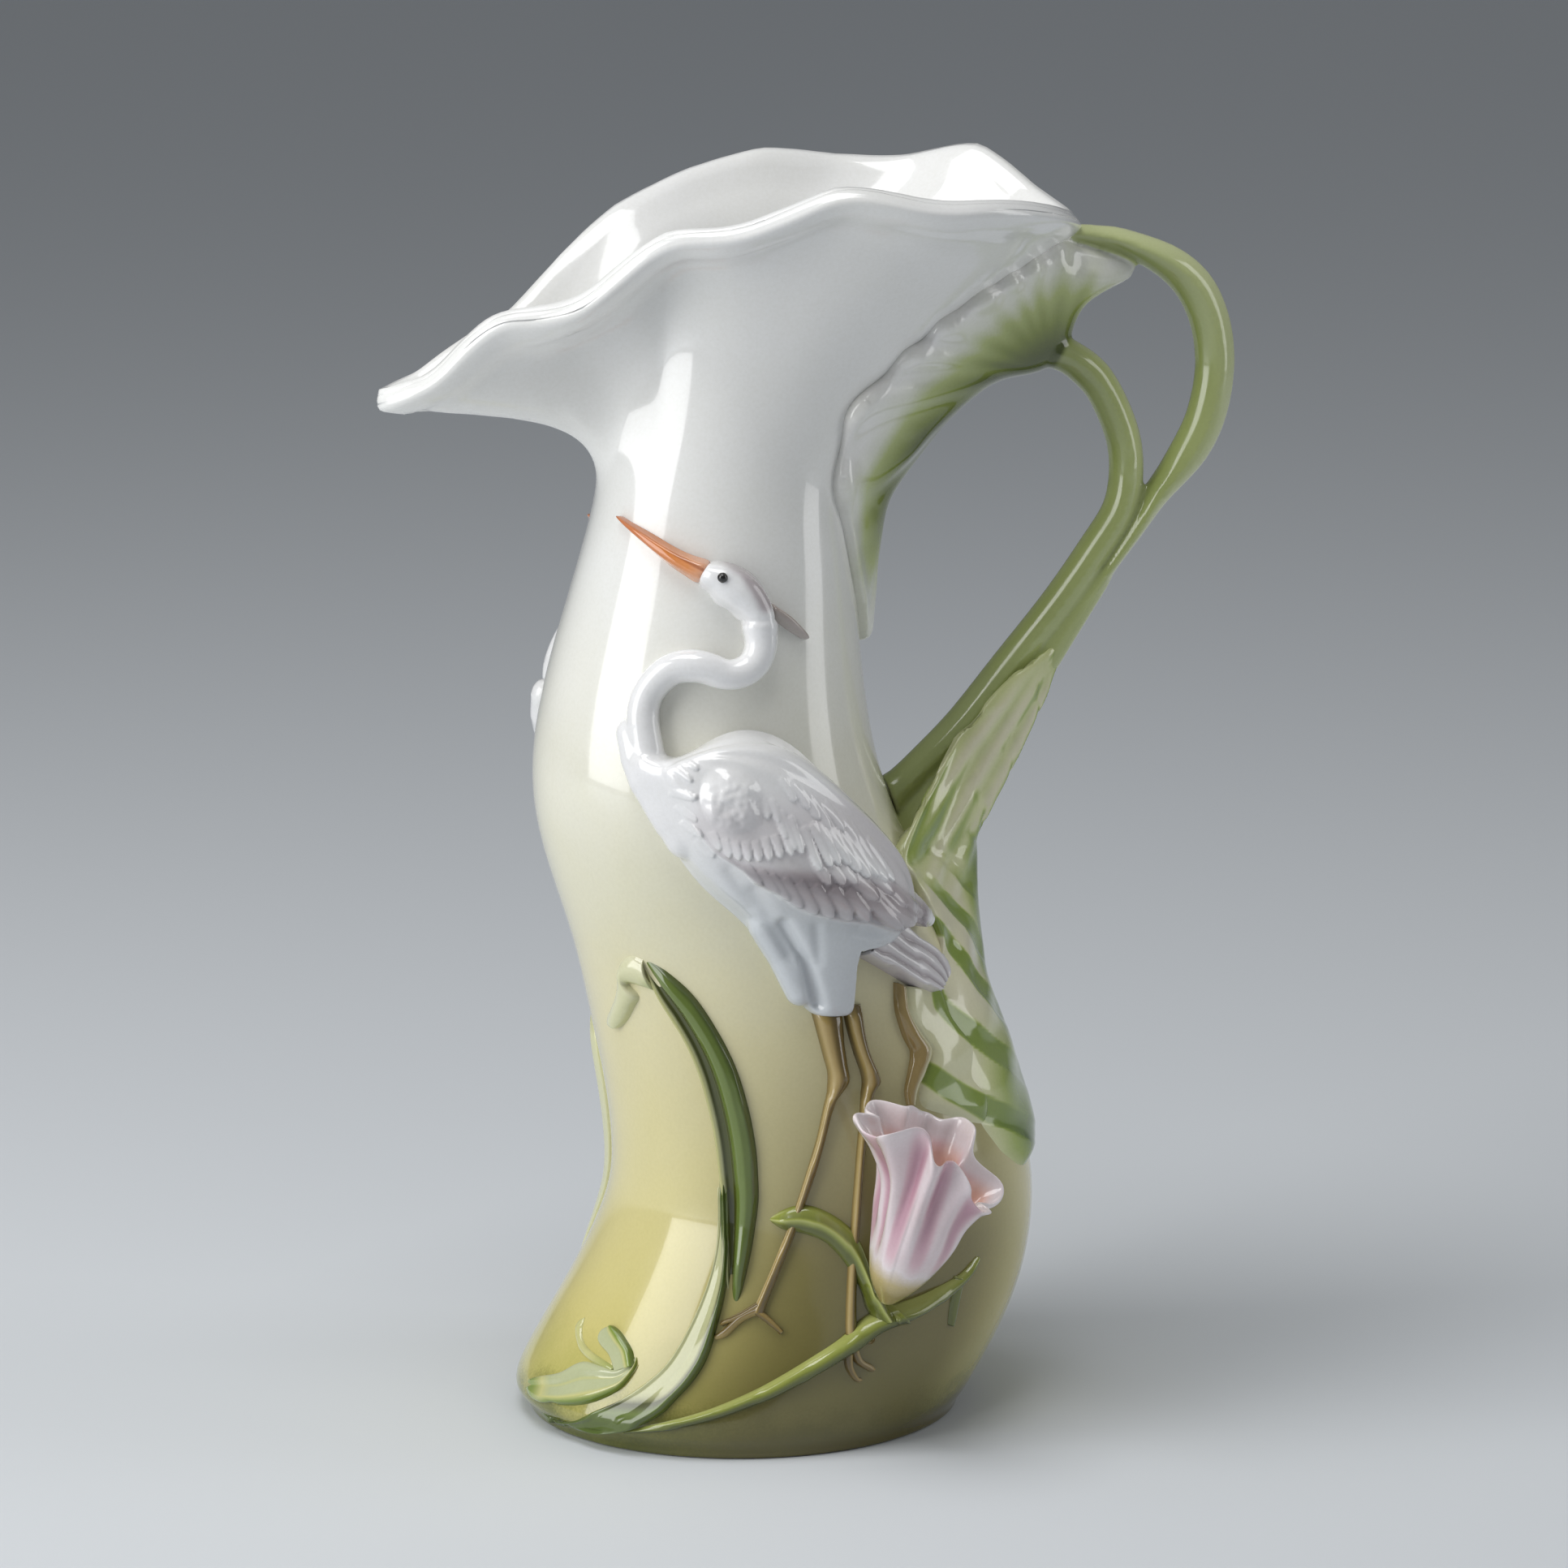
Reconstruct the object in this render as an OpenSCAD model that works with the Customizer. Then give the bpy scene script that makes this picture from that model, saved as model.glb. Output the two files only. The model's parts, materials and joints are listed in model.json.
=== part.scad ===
// Ewer with a wading bird and water plants in luted porcelain. Millimetres.
// +Z is up, the spout points to -X, the handle to +X, the bird is on the -Y side.

/* [Body] */
// Foot edge: height, reach to the spout side, reach to the handle side, half depth
foot = [0, 76, 40, 55]; // [0:0.5:400]
// Toe, the widest line over the foot
toe = [9, 80.5, 46, 58]; // [0:0.5:400]
// Slope from the toe up to the hollow
ankle = [34, 66.5, 58.5, 55.5]; // [0:0.5:400]
// Hollow over the toe
hollow = [66, 54, 61.5, 53]; // [0:0.5:400]
// Waist, where the body leans back to the spout side
waist = [120, 61.5, 45, 49]; // [0:0.5:400]
// Breast
breast = [178, 75, 19, 45]; // [0:0.5:400]
// Throat, where the mouth starts to open
throat = [250, 58.3, 10.5, 32.5]; // [0:0.5:400]
// Wall of the body
wall_t = 4; // [3:0.25:6]
// Floor above the recess of the foot
floor_t = 5; // [4:0.5:8]
// Depth of the recess under the foot
recess = 2.5; // [1:0.5:4]
// Width of the ring that the foot stands on
foot_ring = 7; // [5:0.5:12]

/* [Mouth] */
// Reach of the spout
spout_reach = 115; // [105:1:130]
// Height of the spout's tip
spout_z = 279; // [272:1:288]
// Reach of the mouth to the handle side
mouth_back = 72; // [66:1:80]
// Height of the mouth at the handle
mouth_back_z = 322; // [312:1:332]
// Rise of the lip from the level line at the spout, the sides and the handle
lip_lean = [8, 48, 42]; // [0:1:80]
// Half width of the mouth
mouth_half = 50; // [44:1:56]
// Thickness of the lip
lip_t = 3.8; // [2.5:0.1:4]

/* [Handle] */
// Half thickness of the inner stem
inner_half = 4.8; // [4:0.1:5.2]
// Half thickness of the outer stem in the loop
outer_half = 5.6; // [4:0.1:5.8]
// Half width of both stems, seen from the handle's end
stem_half = 5.5; // [4:0.25:7]
// Reach of the upper leaf's keel off the wall
upper_reach = 31; // [28:0.5:33]
// Reach of the lower leaf's keel off the wall
lower_reach = 21; // [19:0.5:23]
// Thickness of the leaves' free edges
leaf_edge = 1.8; // [1.2:0.1:2.6]
// Height of the ribs on the leaves
rib_h = 1.2; // [0:0.1:2]

/* [Bird] */
// Height of the breast over the wall
bird_h = 12; // [8:0.5:14]
// Thickness of the folded wing
wing_t = 2.6; // [1.8:0.1:3.5]
// Half width of the neck
neck_half = 4.2; // [3:0.1:4.6]
// Half width of the legs
leg_half = 1.7; // [1.2:0.1:2.2]
// Turn of the far bird toward the spout
far_turn = 17; // [10:1:22]

/* [Plants] */
// Length of the flower
flower_h = 48; // [40:1:51]
// Radius of the flower's cup
flower_r = 13; // [11:0.5:14]
// Radius of the flower's rim
flower_rim_r = 18.5; // [15:0.5:19]
// Wall of the flower
petal_t = 1.8; // [1.4:0.1:2.4]
// Half thickness of the flower's stem
flower_stem_half = 2.9; // [2.2:0.1:3.4]
// Height of the sprout over the wall
sprout_h = 5.6; // [4:0.2:7]
// Height of the blade leaf over the wall
blade_h = 5.5; // [4:0.5:7]

/* [Fit] */
// Gap for slip between luted pieces
seam = 0.3; // [0.25:0.05:0.4]
// Handle plane from the middle of the overall depth, the flower being on one side only
plane_y = 15.3; // [10:0.1:20]

/* [Hidden] */
columns = 48;
porcelain = "#f2f1ea";

// small helpers
function mix(a, b, f) = a + (b - a)*f;
function clamp(x, lo = 0, hi = 1) = min(max(x, lo), hi);
function unit(v) = v/max(norm(v), 1e-9);

// smooth curve through stations [position, value]
function slope(st, i) =
  let (n = len(st) - 1, a = max(i - 1, 0), b = min(i + 1, n))
  (st[b][1] - st[a][1])/(st[b][0] - st[a][0]);
function span_of(st, x, i = 0) = i >= len(st) - 2 || x <= st[i + 1][0] ? i : span_of(st, x, i + 1);
function through(st, x) =
  let (i = span_of(st, x), w = st[i + 1][0] - st[i][0], f = (x - st[i][0])/w, g = 1 - f)
  st[i][1]*g*g*(1 + 2*f) + st[i + 1][1]*f*f*(3 - 2*f)
  + slope(st, i)*w*f*g*g - slope(st, i + 1)*w*f*f*g;

// smooth curve through evenly numbered points, t from 0 to 1
function spline(pts, t, closed = false) =
  let (n = len(pts), m = closed ? n : n - 1, q = clamp(t)*m, i = min(floor(q), m - 1), f = q - i)
  let (at = function(k) closed ? pts[(k + n) % n] : pts[clamp(k, 0, n - 1)])
  let (a = at(i), b = at(i + 1), da = (b - at(i - 1))/2, db = (at(i + 2) - a)/2, g = 1 - f)
  a*g*g*(1 + 2*f) + b*f*f*(3 - 2*f) + da*f*g*g - db*f*f*g;

// body below the throat: reach to spout, to handle and to the sides at a height
levels = [for (r = [foot, toe, ankle, hollow, waist, breast, throat]) [r[0], [r[1], r[2], r[3]]]];
function ring_point(u, z) =
  let (r = through(levels, z))
  [(r[1] - r[0])/2 + (r[0] + r[1])/2*cos(u), r[2]*sin(u), z];

// rim of the mouth: [share of the way from spout to handle, share of the half width, rise over the
// straight line between the two on the bird's side, on the far side]
rim_rows = [
  [0, 0, 0, 0],
  [0.032, 0.14, 1.6, 0.6],
  [0.08, 0.22, 4.6, 2.6],
  [0.144, 0.32, 13.8, 5.8],
  [0.214, 0.42, 17.8, 8.8],
  [0.294, 0.56, 21.4, 18.4],
  [0.385, 0.72, 29.4, 27.4],
  [0.487, 0.86, 30, 32],
  [0.6, 0.96, 33.2, 32.2],
  [0.711, 1, 27, 25],
  [0.818, 0.92, 19.3, 19.8],
  [0.909, 0.7, 11.4, 19.9],
  [0.968, 0.38, 4.4, 7.4],
  [1, 0, 0, 0],
];
function rim_knot(r, near) = [
  mix(-spout_reach, mouth_back, r[0]),
  (near ? -1 : 1)*mouth_half*r[1],
  mix(spout_z, mouth_back_z, r[0]) + r[near ? 2 : 3]];
last = len(rim_rows) - 1;
rim_loop = concat(
  [for (i = [0:last]) rim_knot(rim_rows[i], true)],
  [for (i = [last - 1:-1:1]) rim_knot(rim_rows[i], false)]);
function rim_point(t) = spline(rim_loop, t, true);

// columns of the wall crowd at the spout: t = 0 spout, 0.5 handle
crowd = 28;
function bearing(t) = 180 + 360*t - crowd*sin(360*t);
function column(u, t = -1, n = 6) =
  let (v = u - 360*floor((u - 180)/360), s = t < 0 ? (v - 180)/360 : t)
  n == 0 ? s : column(u, s - (bearing(s) - v)/(360 - crowd*2*PI*cos(360*s)), n - 1);

// the mouth opens from the throat in one bow to the rim, f from 0 to 1
function flare(t, f) =
  let (u = bearing(t), p0 = ring_point(u, throat[0]), p3 = rim_point(t), out = p3 - p0)
  let (run = unit(rim_point(t + 0.01 > 1 ? t - 0.99 : t + 0.01) - rim_point(t < 0.01 ? t + 0.99 : t - 0.01)))
  let (away = unit(unit([out[0], out[1], 0]) + [run[1], -run[0], 0]*clamp((abs(p3[1]) - 10)/26)), c = cos(u))
  let (lean = mix(lip_lean[1], c < 0 ? lip_lean[0] : lip_lean[2], c*c))
  let (up = unit(ring_point(u, throat[0] + 0.5) - ring_point(u, throat[0] - 0.5)))
  let (p1 = p0 + up*mix(38, c < 0 ? 28 : 26, c*c))
  let (p2 = p3 - (away*cos(lean) + [0, 0, sin(lean)])*mix(26, 34, c*c), g = 1 - f)
  p0*g*g*g + p1*3*f*g*g + p2*3*f*f*g + p3*f*f*f;

// outer face of the wall by station: 0 at the foot, 250 at the throat, 350 at the rim
function wall_at(t, s) =
  s <= 250 ? ring_point(bearing(t), throat[0]*s/250) : flare(t, (s - 250)/100);
function wall(u, s) = s <= 250 ? ring_point(u, throat[0]*s/250) : flare(column(u), (s - 250)/100);
function normal_at(t, s) =
  let (h = s > 349.5 ? -0.5 : 0.5)
  let (a = wall_at(t + 0.002, s) - wall_at(t - 0.002, s), b = (wall_at(t, s + h) - wall_at(t, s))/h)
  unit(cross(a, b));
function normal(u, s) =
  unit(cross(wall(u + 0.5, s) - wall(u - 0.5, s), wall(u, s + 0.5) - wall(u, s - 0.5)));
function over(u, s, h) = wall(u, s) + normal(u, s)*h;

// closed skin over rings of points, capped with fans
function ring_faces(n, m) = [for (i = [0:n - 2]) for (j = [0:m - 1])
  let (k = (j + 1) % m) each [[i*m + j, i*m + k, i*m + m + k], [i*m + j, i*m + m + k, i*m + m + j]]];
function mean(r) = [for (p = r) 1]*r/len(r);
function bulk(pts, faces) =
  [for (f = faces) 1]*[for (f = faces) cross(pts[f[0]], pts[f[1]])*pts[f[2]]];
module skin(rings, first = undef, end = undef) {
  n = len(rings);
  m = len(rings[0]);
  a = is_undef(first) ? mean(rings[0]) : first;
  b = is_undef(end) ? mean(rings[n - 1]) : end;
  pts = [for (p = concat([for (r = rings) each r], [a, b])) p + [0, plane_y, 0]];
  faces = concat(ring_faces(n, m),
    [for (j = [0:m - 1]) [n*m, (j + 1) % m, j]],
    [for (j = [0:m - 1]) let (k = (n - 1)*m) [n*m + 1, k + j, k + (j + 1) % m]]);
  polyhedron(pts, bulk(pts, faces) < 0 ? faces : [for (f = faces) [f[0], f[2], f[1]]]);
}

module vessel_body() {
  steps = [for (j = [0:columns - 1]) j/columns];
  toe_s = 250*toe[0]/throat[0];
  outer_s = concat([0, toe_s/6, toe_s/2, toe_s], [for (i = [1:18]) mix(toe_s, 250, i/18)],
    [for (i = [1:8]) 250 + 100*i/8]);
  inner_s = concat([for (i = [5:-1:1]) 250 + 20*i], [for (i = [9:-1:0]) mix(toe_s + 4, 250, i/9)]);
  foot_x = (foot[2] - foot[1])/2;
  inset = 1 - foot_ring/foot[3];
  under = function(z, f) [for (t = steps) let (p = wall_at(t, 0)) [foot_x + (p[0] - foot_x)*f, p[1]*f, z]];
  outer = [for (s = outer_s) [for (t = steps) wall_at(t, s)]];
  lip = [for (a = [45:45:135]) [for (t = steps)
    let (n = normal_at(t, 350), p = wall_at(t, 350), out = unit(p - wall_at(t, 349)))
    p - n*lip_t/2 + (n*cos(a) + out*sin(a))*lip_t/2]];
  inner = [for (s = inner_s) [for (t = steps)
    wall_at(t, s) - normal_at(t, s)*mix(wall_t, lip_t, clamp((s - 250)/100))]];
  low = inner[len(inner) - 1];
  floor_ring = [for (p = low) [foot_x + (p[0] - foot_x)*0.93, p[1]*0.93, recess + floor_t]];
  color(porcelain)
  skin(concat([under(recess, inset - 0.02), under(0, inset)], outer, lip, inner, [floor_ring]),
    [foot_x, 0, recess], [foot_x, 0, recess + floor_t]);
}

// STEMS OF THE HANDLE
// section with a soft ridge on each side: half thickness a in the handle plane, half width b across
function lens(a, b, n = 10) = [for (i = [0:n - 1]) let (c = cos(360*i/n), d = sin(360*i/n))
  [a*sign(c)*pow(abs(c), 1.3), b*sign(d)*pow(abs(d), 1.3)]];
// rings along a path of rows [x, z, half thickness, half width] in the handle plane
function plane_rings(rows, n) = [for (i = [0:n])
  let (q = i/n, r = spline(rows, q), d = spline(rows, q + 0.01) - spline(rows, q - 0.01))
  let (w = unit([-d[1], d[0]]))
  [for (e = lens(r[2], r[3])) [r[0] + w[0]*e[0], e[1], r[1] + w[1]*e[0]]]];

// a bowed run between two ends: rows [share of the way, bow to the left as a share of the way]
function bowed(a, b, rows) =
  let (d = b - a)
  [for (r = rows) a + d*r[0] + [-d[1], d[0]]*r[1]];

root_s = 168;
trunk = [wall(0, 304)[0] + 1.186*upper_reach, wall(0, 304)[2] - 0.065*upper_reach];
root = [wall(0, root_s)[0] + 3, wall(0, root_s)[2] + 2.5];
inner_bow = [[0.009, 0.054], [0.053, 0.122], [0.124, 0.19], [0.196, 0.227], [0.275, 0.242],
  [0.364, 0.225], [0.508, 0.188], [0.677, 0.132], [0.847, 0.074]];
inner_path = [for (p = concat([trunk + [seam, -0.4]], bowed(trunk, root, inner_bow), [root]))
  [p[0], p[1], inner_half, stem_half]];
function inner_at(q) = spline(inner_path, q);
// the way off the inner stem, to the outer side
function inner_off(q) = let (d = inner_at(q + 0.01) - inner_at(q - 0.01)) unit([-d[1], d[0]]);

module handle_inner_stem() {
  rings = plane_rings(inner_path, 20);
  n = normal(0, root_s);
  foot_c = wall(0, root_s) + n*(seam + 0.35);
  along = [-n[2], 0, n[0]];
  last_ring = [for (e = lens(inner_half*1.35, stem_half)) foot_c - along*e[0] + [0, e[1], 0]];
  color("#7f9a4c")
  skin(concat(rings, [last_ring]));
}

// The outer stem bows from the rim to the inner one and runs down beside it.
outer_start = [mouth_back + lip_t/4 + seam, mouth_back_z - 1.2];
// rows: [share of the way, bow, half thickness, half width as a share of the stem's]
outer_bow = [
  [0.046, 0.081, 0.5, 0.72],
  [0.118, 0.179, 0.64, 1],
  [0.268, 0.314, 0.9, 1],
  [0.441, 0.363, 1, 1],
  [0.637, 0.33, 1, 1],
  [0.807, 0.234, 1, 1],
  [0.907, 0.126, 0.93, 1],
];
// rows: [place beside the inner stem, gap, half thickness, half width]
outer_run = [
  [0.44, 1.4, 0.74, 1],
  [0.51, 0, 0.52, 1],
  [0.6, 0, 0.42, 0.92],
  [0.67, 0, 0.36, 0.8],
  [0.733, 0, 0.3, 0.62],
];
function outer_row(p, t, b) = [p[0], p[1], outer_half*t, stem_half*b];
module handle_outer_stem() {
  run = [for (r = outer_run) inner_off(r[0])*(inner_half + seam + r[1] + outer_half*r[2])
    + [inner_at(r[0])[0], inner_at(r[0])[1]]];
  bows = bowed(outer_start, run[0], outer_bow);
  color("#8aa855")
  skin(plane_rings(concat([outer_row(outer_start, 0.4, 0.55)],
    [for (i = [0:len(bows) - 1]) outer_row(bows[i], outer_bow[i][2], outer_bow[i][3])],
    [for (i = [0:len(run) - 1]) outer_row(run[i], outer_run[i][2], outer_run[i][3])]), 22));
}

// LEAVES OF THE HANDLE
// A leaf with a keel: its edges lie on the wall, its midrib stands off in the handle plane.
function bow(a, b, c, d, f) = let (g = 1 - f) a*g*g*g + b*3*f*g*g + c*3*f*f*g + d*f*f*f;
function wave(x) = 0.5 - 0.5*cos(360*x);
// half of a row from the edge to the midrib, at least as thick as the leaf's edge
function keel_row(inside, ups, ridge, nose, side, rib, phase) =
  let (m = len(inside) - 1, k = floor(m*0.55))
  let (a = inside[0] + ups[0]*leaf_edge, b = inside[k] + ups[k]*leaf_edge*1.2)
  [for (i = [0:m]) let (f = i/m, o = bow(a, b, ridge + [0, side*nose, 0], ridge, f))
    let (h = (o - inside[i])*ups[i], body = leaf_edge + 1.2*f*f, cut = rib*sin(180*f)*wave(phase + 1.5*f))
    o + ups[i]*(max(body - h, 0) + (0.4 - cut)*sin(180*f))];
function keel_ring(near_in, far_in, near_out, far_out) =
  concat(near_out, [for (i = [len(far_out) - 2:-1:0]) far_out[i]], far_in, [for (i = [len(near_in) - 2:-1:1]) near_in[i]]);
// rows: [station on the wall, spread on the near and far side, keel off the wall in x and in z, nose]
function keel_wall_ring(r, reach, phase, m = 5) =
  let (ridge = wall(0, r[0]) + [r[3], 0, r[4]]*reach, nose = r[5]*reach)
  let (bearings = [for (k = [-r[1], r[2]]) [for (i = [0:m]) k*(1 - i/m)]])
  let (ups = [for (b = bearings) [for (u = b) normal(u, r[0])]])
  let (inside = [for (b = bearings) [for (u = b) over(u, r[0], seam + 0.4)]])
  keel_ring(inside[0], inside[1], keel_row(inside[0], ups[0], ridge, nose, -1, rib_h, phase),
    keel_row(inside[1], ups[1], ridge, nose, 1, rib_h, phase));

upper_rows = [
  [212, 2, 2, 0.13, 0.016, 0.03],
  [222, 14, 14, 0.19, -0.065, 0.1],
  [232, 25, 25, 0.22, -0.065, 0.13],
  [245, 31, 31, 0.32, -0.065, 0.16],
  [258, 38, 38, 0.43, -0.13, 0.19],
  [270, 43, 43, 0.58, -0.11, 0.23],
  [280, 47, 47, 0.68, -0.065, 0.24],
  [289, 42, 42, 0.81, -0.02, 0.26],
  [297, 38, 38, 0.9, -0.1, 0.26],
  [304, 35.5, 35.5, 1, -0.21, 0.26],
  [311, 33, 33, 1, -0.24, 0.26],
  [318, 30.5, 30.5, 0.89, -0.19, 0.24],
  [325, 25.5, 25.5, 0.78, -0.17, 0.19],
  [331, 20, 20, 0.76, -0.18, 0.15],
  [337, 14.5, 14.5, 0.81, -0.21, 0.1],
  [341.5, 9.5, 9.5, 0.79, -0.25, 0.06],
  [346, 5, 5, 0.65, -0.24, 0.05],
];
module handle_upper_leaf() {
  n = 22;
  ribs = 7;
  color("#9bb56a")
  skin([for (i = [0:n]) keel_wall_ring(spline(upper_rows, i/n), upper_reach, i/n*ribs)]);
}

// The lower leaf clasps the stem above the root and lies on the back of the body below it.
// rows: [place on the stem, keel off the stem, nose, clearance, angle of the clasp]
clasp_rows = [
  [0.745, 0.4, 0.05, 0.1, 15],
  [0.775, 0.55, 0.11, 0.1, 60],
  [0.825, 0.67, 0.19, 0.1, 90],
  [0.875, 0.81, 0.24, 0.2, 90],
  [0.92, 0.98, 0.26, 0.6, 90],
];
lower_rows = [
  [158, 34, 34, 1, 0.02, 0.29],
  [150, 35, 40, 0.8, -0.02, 0.29],
  [142, 34, 44, 0.61, -0.07, 0.29],
  [134, 34, 47, 0.46, -0.14, 0.29],
  [126, 40, 50, 0.33, -0.17, 0.29],
  [118, 51, 56, 0.22, -0.14, 0.29],
  [110, 58, 60.5, 0.16, -0.1, 0.29],
  [102, 61, 61, 0.14, -0.05, 0.29],
  [94, 61, 61, 0.13, 0, 0.29],
  [84, 60, 60, 0.124, 0, 0.29],
  [75, 51, 51, 0.12, 0, 0.24],
  [67, 34, 34, 0.115, 0, 0.19],
  [58, 4, 4, 0.105, 0, 0.05],
];
function clasp_ring(r, phase, m = 5) =
  let (p = inner_at(r[0]), off = inner_off(r[0]), down = [off[0], 0, off[1]])
  let (mid = [p[0], 0, p[1]], ridge = mid + down*lower_reach*r[1], nose = lower_reach*r[2])
  let (turns = [for (i = [0:m]) 90 - r[4]*(1 - i/m)])
  let (ups = [for (side = [-1, 1]) [for (a = turns) [0, side*cos(a), 0] + down*sin(a)]])
  let (inside = [for (side = [-1, 1]) [for (a = turns) mid
    + [0, side*(stem_half + seam + r[3])*cos(a), 0] + down*(inner_half + seam + r[3])*sin(a)]])
  keel_ring(inside[0], inside[1], keel_row(inside[0], ups[0], ridge, nose, -1, rib_h*0.5, phase),
    keel_row(inside[1], ups[1], ridge, nose, 1, rib_h*0.5, phase));
module handle_lower_leaf() {
  a = 5;
  n = 18;
  ribs = 5;
  color("#8fae62")
  skin(concat([for (i = [0:a]) clasp_ring(spline(clasp_rows, i/a), i/a)],
    [for (i = [0:n]) keel_wall_ring(spline(lower_rows, i/n), lower_reach, i/n*ribs)]));
}

// RELIEF
// Rows give the left and right edge on the wall and a share of the relief's height:
// [bearing, station, bearing, station, relief].
function swell(w, p = 0.5) = pow(max(1 - pow(abs(2*w - 1), 2), 0), p);
function bird_u(u, far) = far ? 360 - u + far_turn : u;
function pad_uv(r, w, far) = [bird_u(mix(r[0], r[2], w), far), mix(r[1], r[3], w)];
function pad_ring(r, h, far, m, lift, p, lip = 0.5) = concat(
  [for (i = [0:m]) let (w = i/m, c = pad_uv(r, w, far)) over(c[0], c[1], seam + lift + lip + h*r[4]*swell(w, p))],
  [for (i = [0:m/2]) let (c = pad_uv(r, 1 - 2*i/m, far)) over(c[0], c[1], seam + lift)]);
module pad(rows, h, n, m = 8, far = false, lift = 0, p = 0.5)
  skin([for (i = [0:n]) pad_ring(spline(rows, i/n), h, far, m, lift, p)]);

// rods on the wall: rows [bearing, station, half width, relief, lift]
function rod_ring(rows, q, far, n, full) =
  let (r = spline(rows, q), d = spline(rows, q + 0.01) - spline(rows, q - 0.01), u = bird_u(r[0], far))
  let (c = wall(u, r[1]), nn = normal(u, r[1]), k = far ? -1 : 1)
  let (tan = (wall(u + k*d[0]*0.1, r[1] + d[1]*0.1) - c), side = unit(cross(nn, tan)))
  [for (i = [0:n - 1]) let (a = -90 + 360*(i + 0.5)/n, y = sin(a))
    c + side*r[2]*cos(a)*(y < -0.5 ? 0.8 : 1) + nn*(seam + r[4] + r[3]*clamp((y + full)/(1 + full)))];
module rod(rows, n, far = false, sides = 8, full = 0.75)
  skin([for (i = [0:n]) rod_ring(rows, i/n, far, sides, full)]);

// BIRD
torso_rows = [
  [236.7, 190, 246.2, 190, 0.58],
  [236.5, 184.6, 254, 190.4, 0.71],
  [240.5, 178.4, 267.5, 196, 0.83],
  [245, 170, 285.5, 193.5, 0.92],
  [249.2, 160.8, 301, 182, 1],
  [254.5, 152.8, 312.5, 168.5, 1],
  [260, 146.2, 317.5, 154.4, 0.92],
  [262.9, 139, 308.5, 141, 0.79],
  [263.6, 132, 294.2, 133.7, 0.58],
  [266, 125.3, 285, 124.6, 0.42],
  [269.5, 120.7, 279.5, 120, 0.29],
];
function bed(far) = far ? 0.35 : 0.2;
function torso_h(q, w, far) = seam + bed(far) + 0.5 + bird_h*spline(torso_rows, q)[4]*swell(w);
function steps(n, far) = far ? ceil(n*0.65) : n;
module egret_body(far = false)
  color("#eceae6") pad(torso_rows, bird_h, steps(14, far), 10, far, bed(far));

// the wing lies on the body: rows [row of the body, from, to, thickness]
wing_rows = [
  [0.15, 0.45, 0.66, 0.5],
  [0.22, 0.3, 0.84, 0.9],
  [0.32, 0.26, 0.93, 1],
  [0.44, 0.28, 0.95, 1],
  [0.55, 0.36, 0.95, 0.9],
  [0.64, 0.52, 0.95, 0.8],
  [0.7, 0.74, 0.94, 0.5],
];
module egret_wing(far = false) {
  m = far ? 8 : 14;
  n = steps(13, far);
  feathers = far ? 3 : 5;
  color("#cfcbc6")
  skin([for (i = [0:n])
    let (r = spline(wing_rows, i/n), row = spline(torso_rows, r[0]))
    let (at = function(f, t) let (w = mix(r[1], r[2], f), c = pad_uv(row, w, far))
      over(c[0], c[1], torso_h(r[0], w, far) + seam + (far ? 0.5 : 0.2) + t))
    concat([for (j = [0:m]) let (f = j/m) at(f, 0.4 + wing_t*r[3]*(0.55*swell(f, 0.4) + 0.3*abs(sin(180*feathers*f))))],
      [for (j = [m:-2:0]) at(j/m, 0)])]);
}

module egret_tail(far = false)
  color("#b9b3ad") pad([
    [311.6, 139, 321.6, 151.5, 0.42],
    [307.6, 132.5, 323, 141, 0.42],
    [308, 126, 322.5, 132, 0.33],
    [309.5, 121.3, 316.5, 123.3, 0.21],
  ], bird_h, 5, 6, far);

neck_rows = [for (r = [[240.9, 191, 1.05], [240.2, 194.3, 1], [238.6, 200.6, 0.95], [240.2, 207, 0.92],
  [246.8, 212.4, 0.96], [256.4, 213.4, 1], [266.5, 211.2, 0.92], [274.2, 212.9, 0.92], [277.6, 217.8, 0.95],
  [276.6, 224.3, 1.05]]) [r[0], r[1], neck_half*r[2], neck_half*1.7*r[2], 0]];
module egret_neck(far = false)
  color("#f0efec") rod(neck_rows, steps(20, far), far, far ? 6 : 8);

head_rows = [
  [270.2, 225.1, 282.6, 225.1, 0.57],
  [265.7, 227.8, 281.2, 229.4, 0.62],
  [260.3, 229.9, 275.2, 235.9, 0.63],
  [256.9, 232.5, 266.3, 239.3, 0.58],
  [254.1, 233.7, 260.4, 240.2, 0.52],
  [252.5, 234.9, 256.3, 240.2, 0.43],
];
module egret_head(far = false)
  color("#ecebe8") pad(head_rows, bird_h, steps(9, far), far ? 6 : 8, far);

module egret_bill(far = false)
  color("#d5783f") pad([
    [251.9, 235, 255.7, 240.4, 0.38],
    [far ? 244.5 : 240, far ? 237.6 : 238.9, far ? 248 : 243.2, far ? 242 : 243, 0.32],
    [far ? 236 : 225, far ? 240.4 : 244.6, far ? 239 : 227.3, far ? 244.4 : 247.2, 0.23],
    [far ? 224.5 : 209.5, far ? 244.6 : 249.6, far ? 225.2 : 210.2, far ? 245.4 : 250.4, 0.1],
  ], bird_h, 6, 6, far);

module egret_crest(far = false)
  color("#a2958f") pad([
    [283.5, 225.5, 282.2, 228.8, 0.22],
    [289.5, 222.4, 290, 225.3, 0.2],
    [297.4, 219, 297.9, 219.9, 0.08],
  ], bird_h, 4, 4, far);

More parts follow.
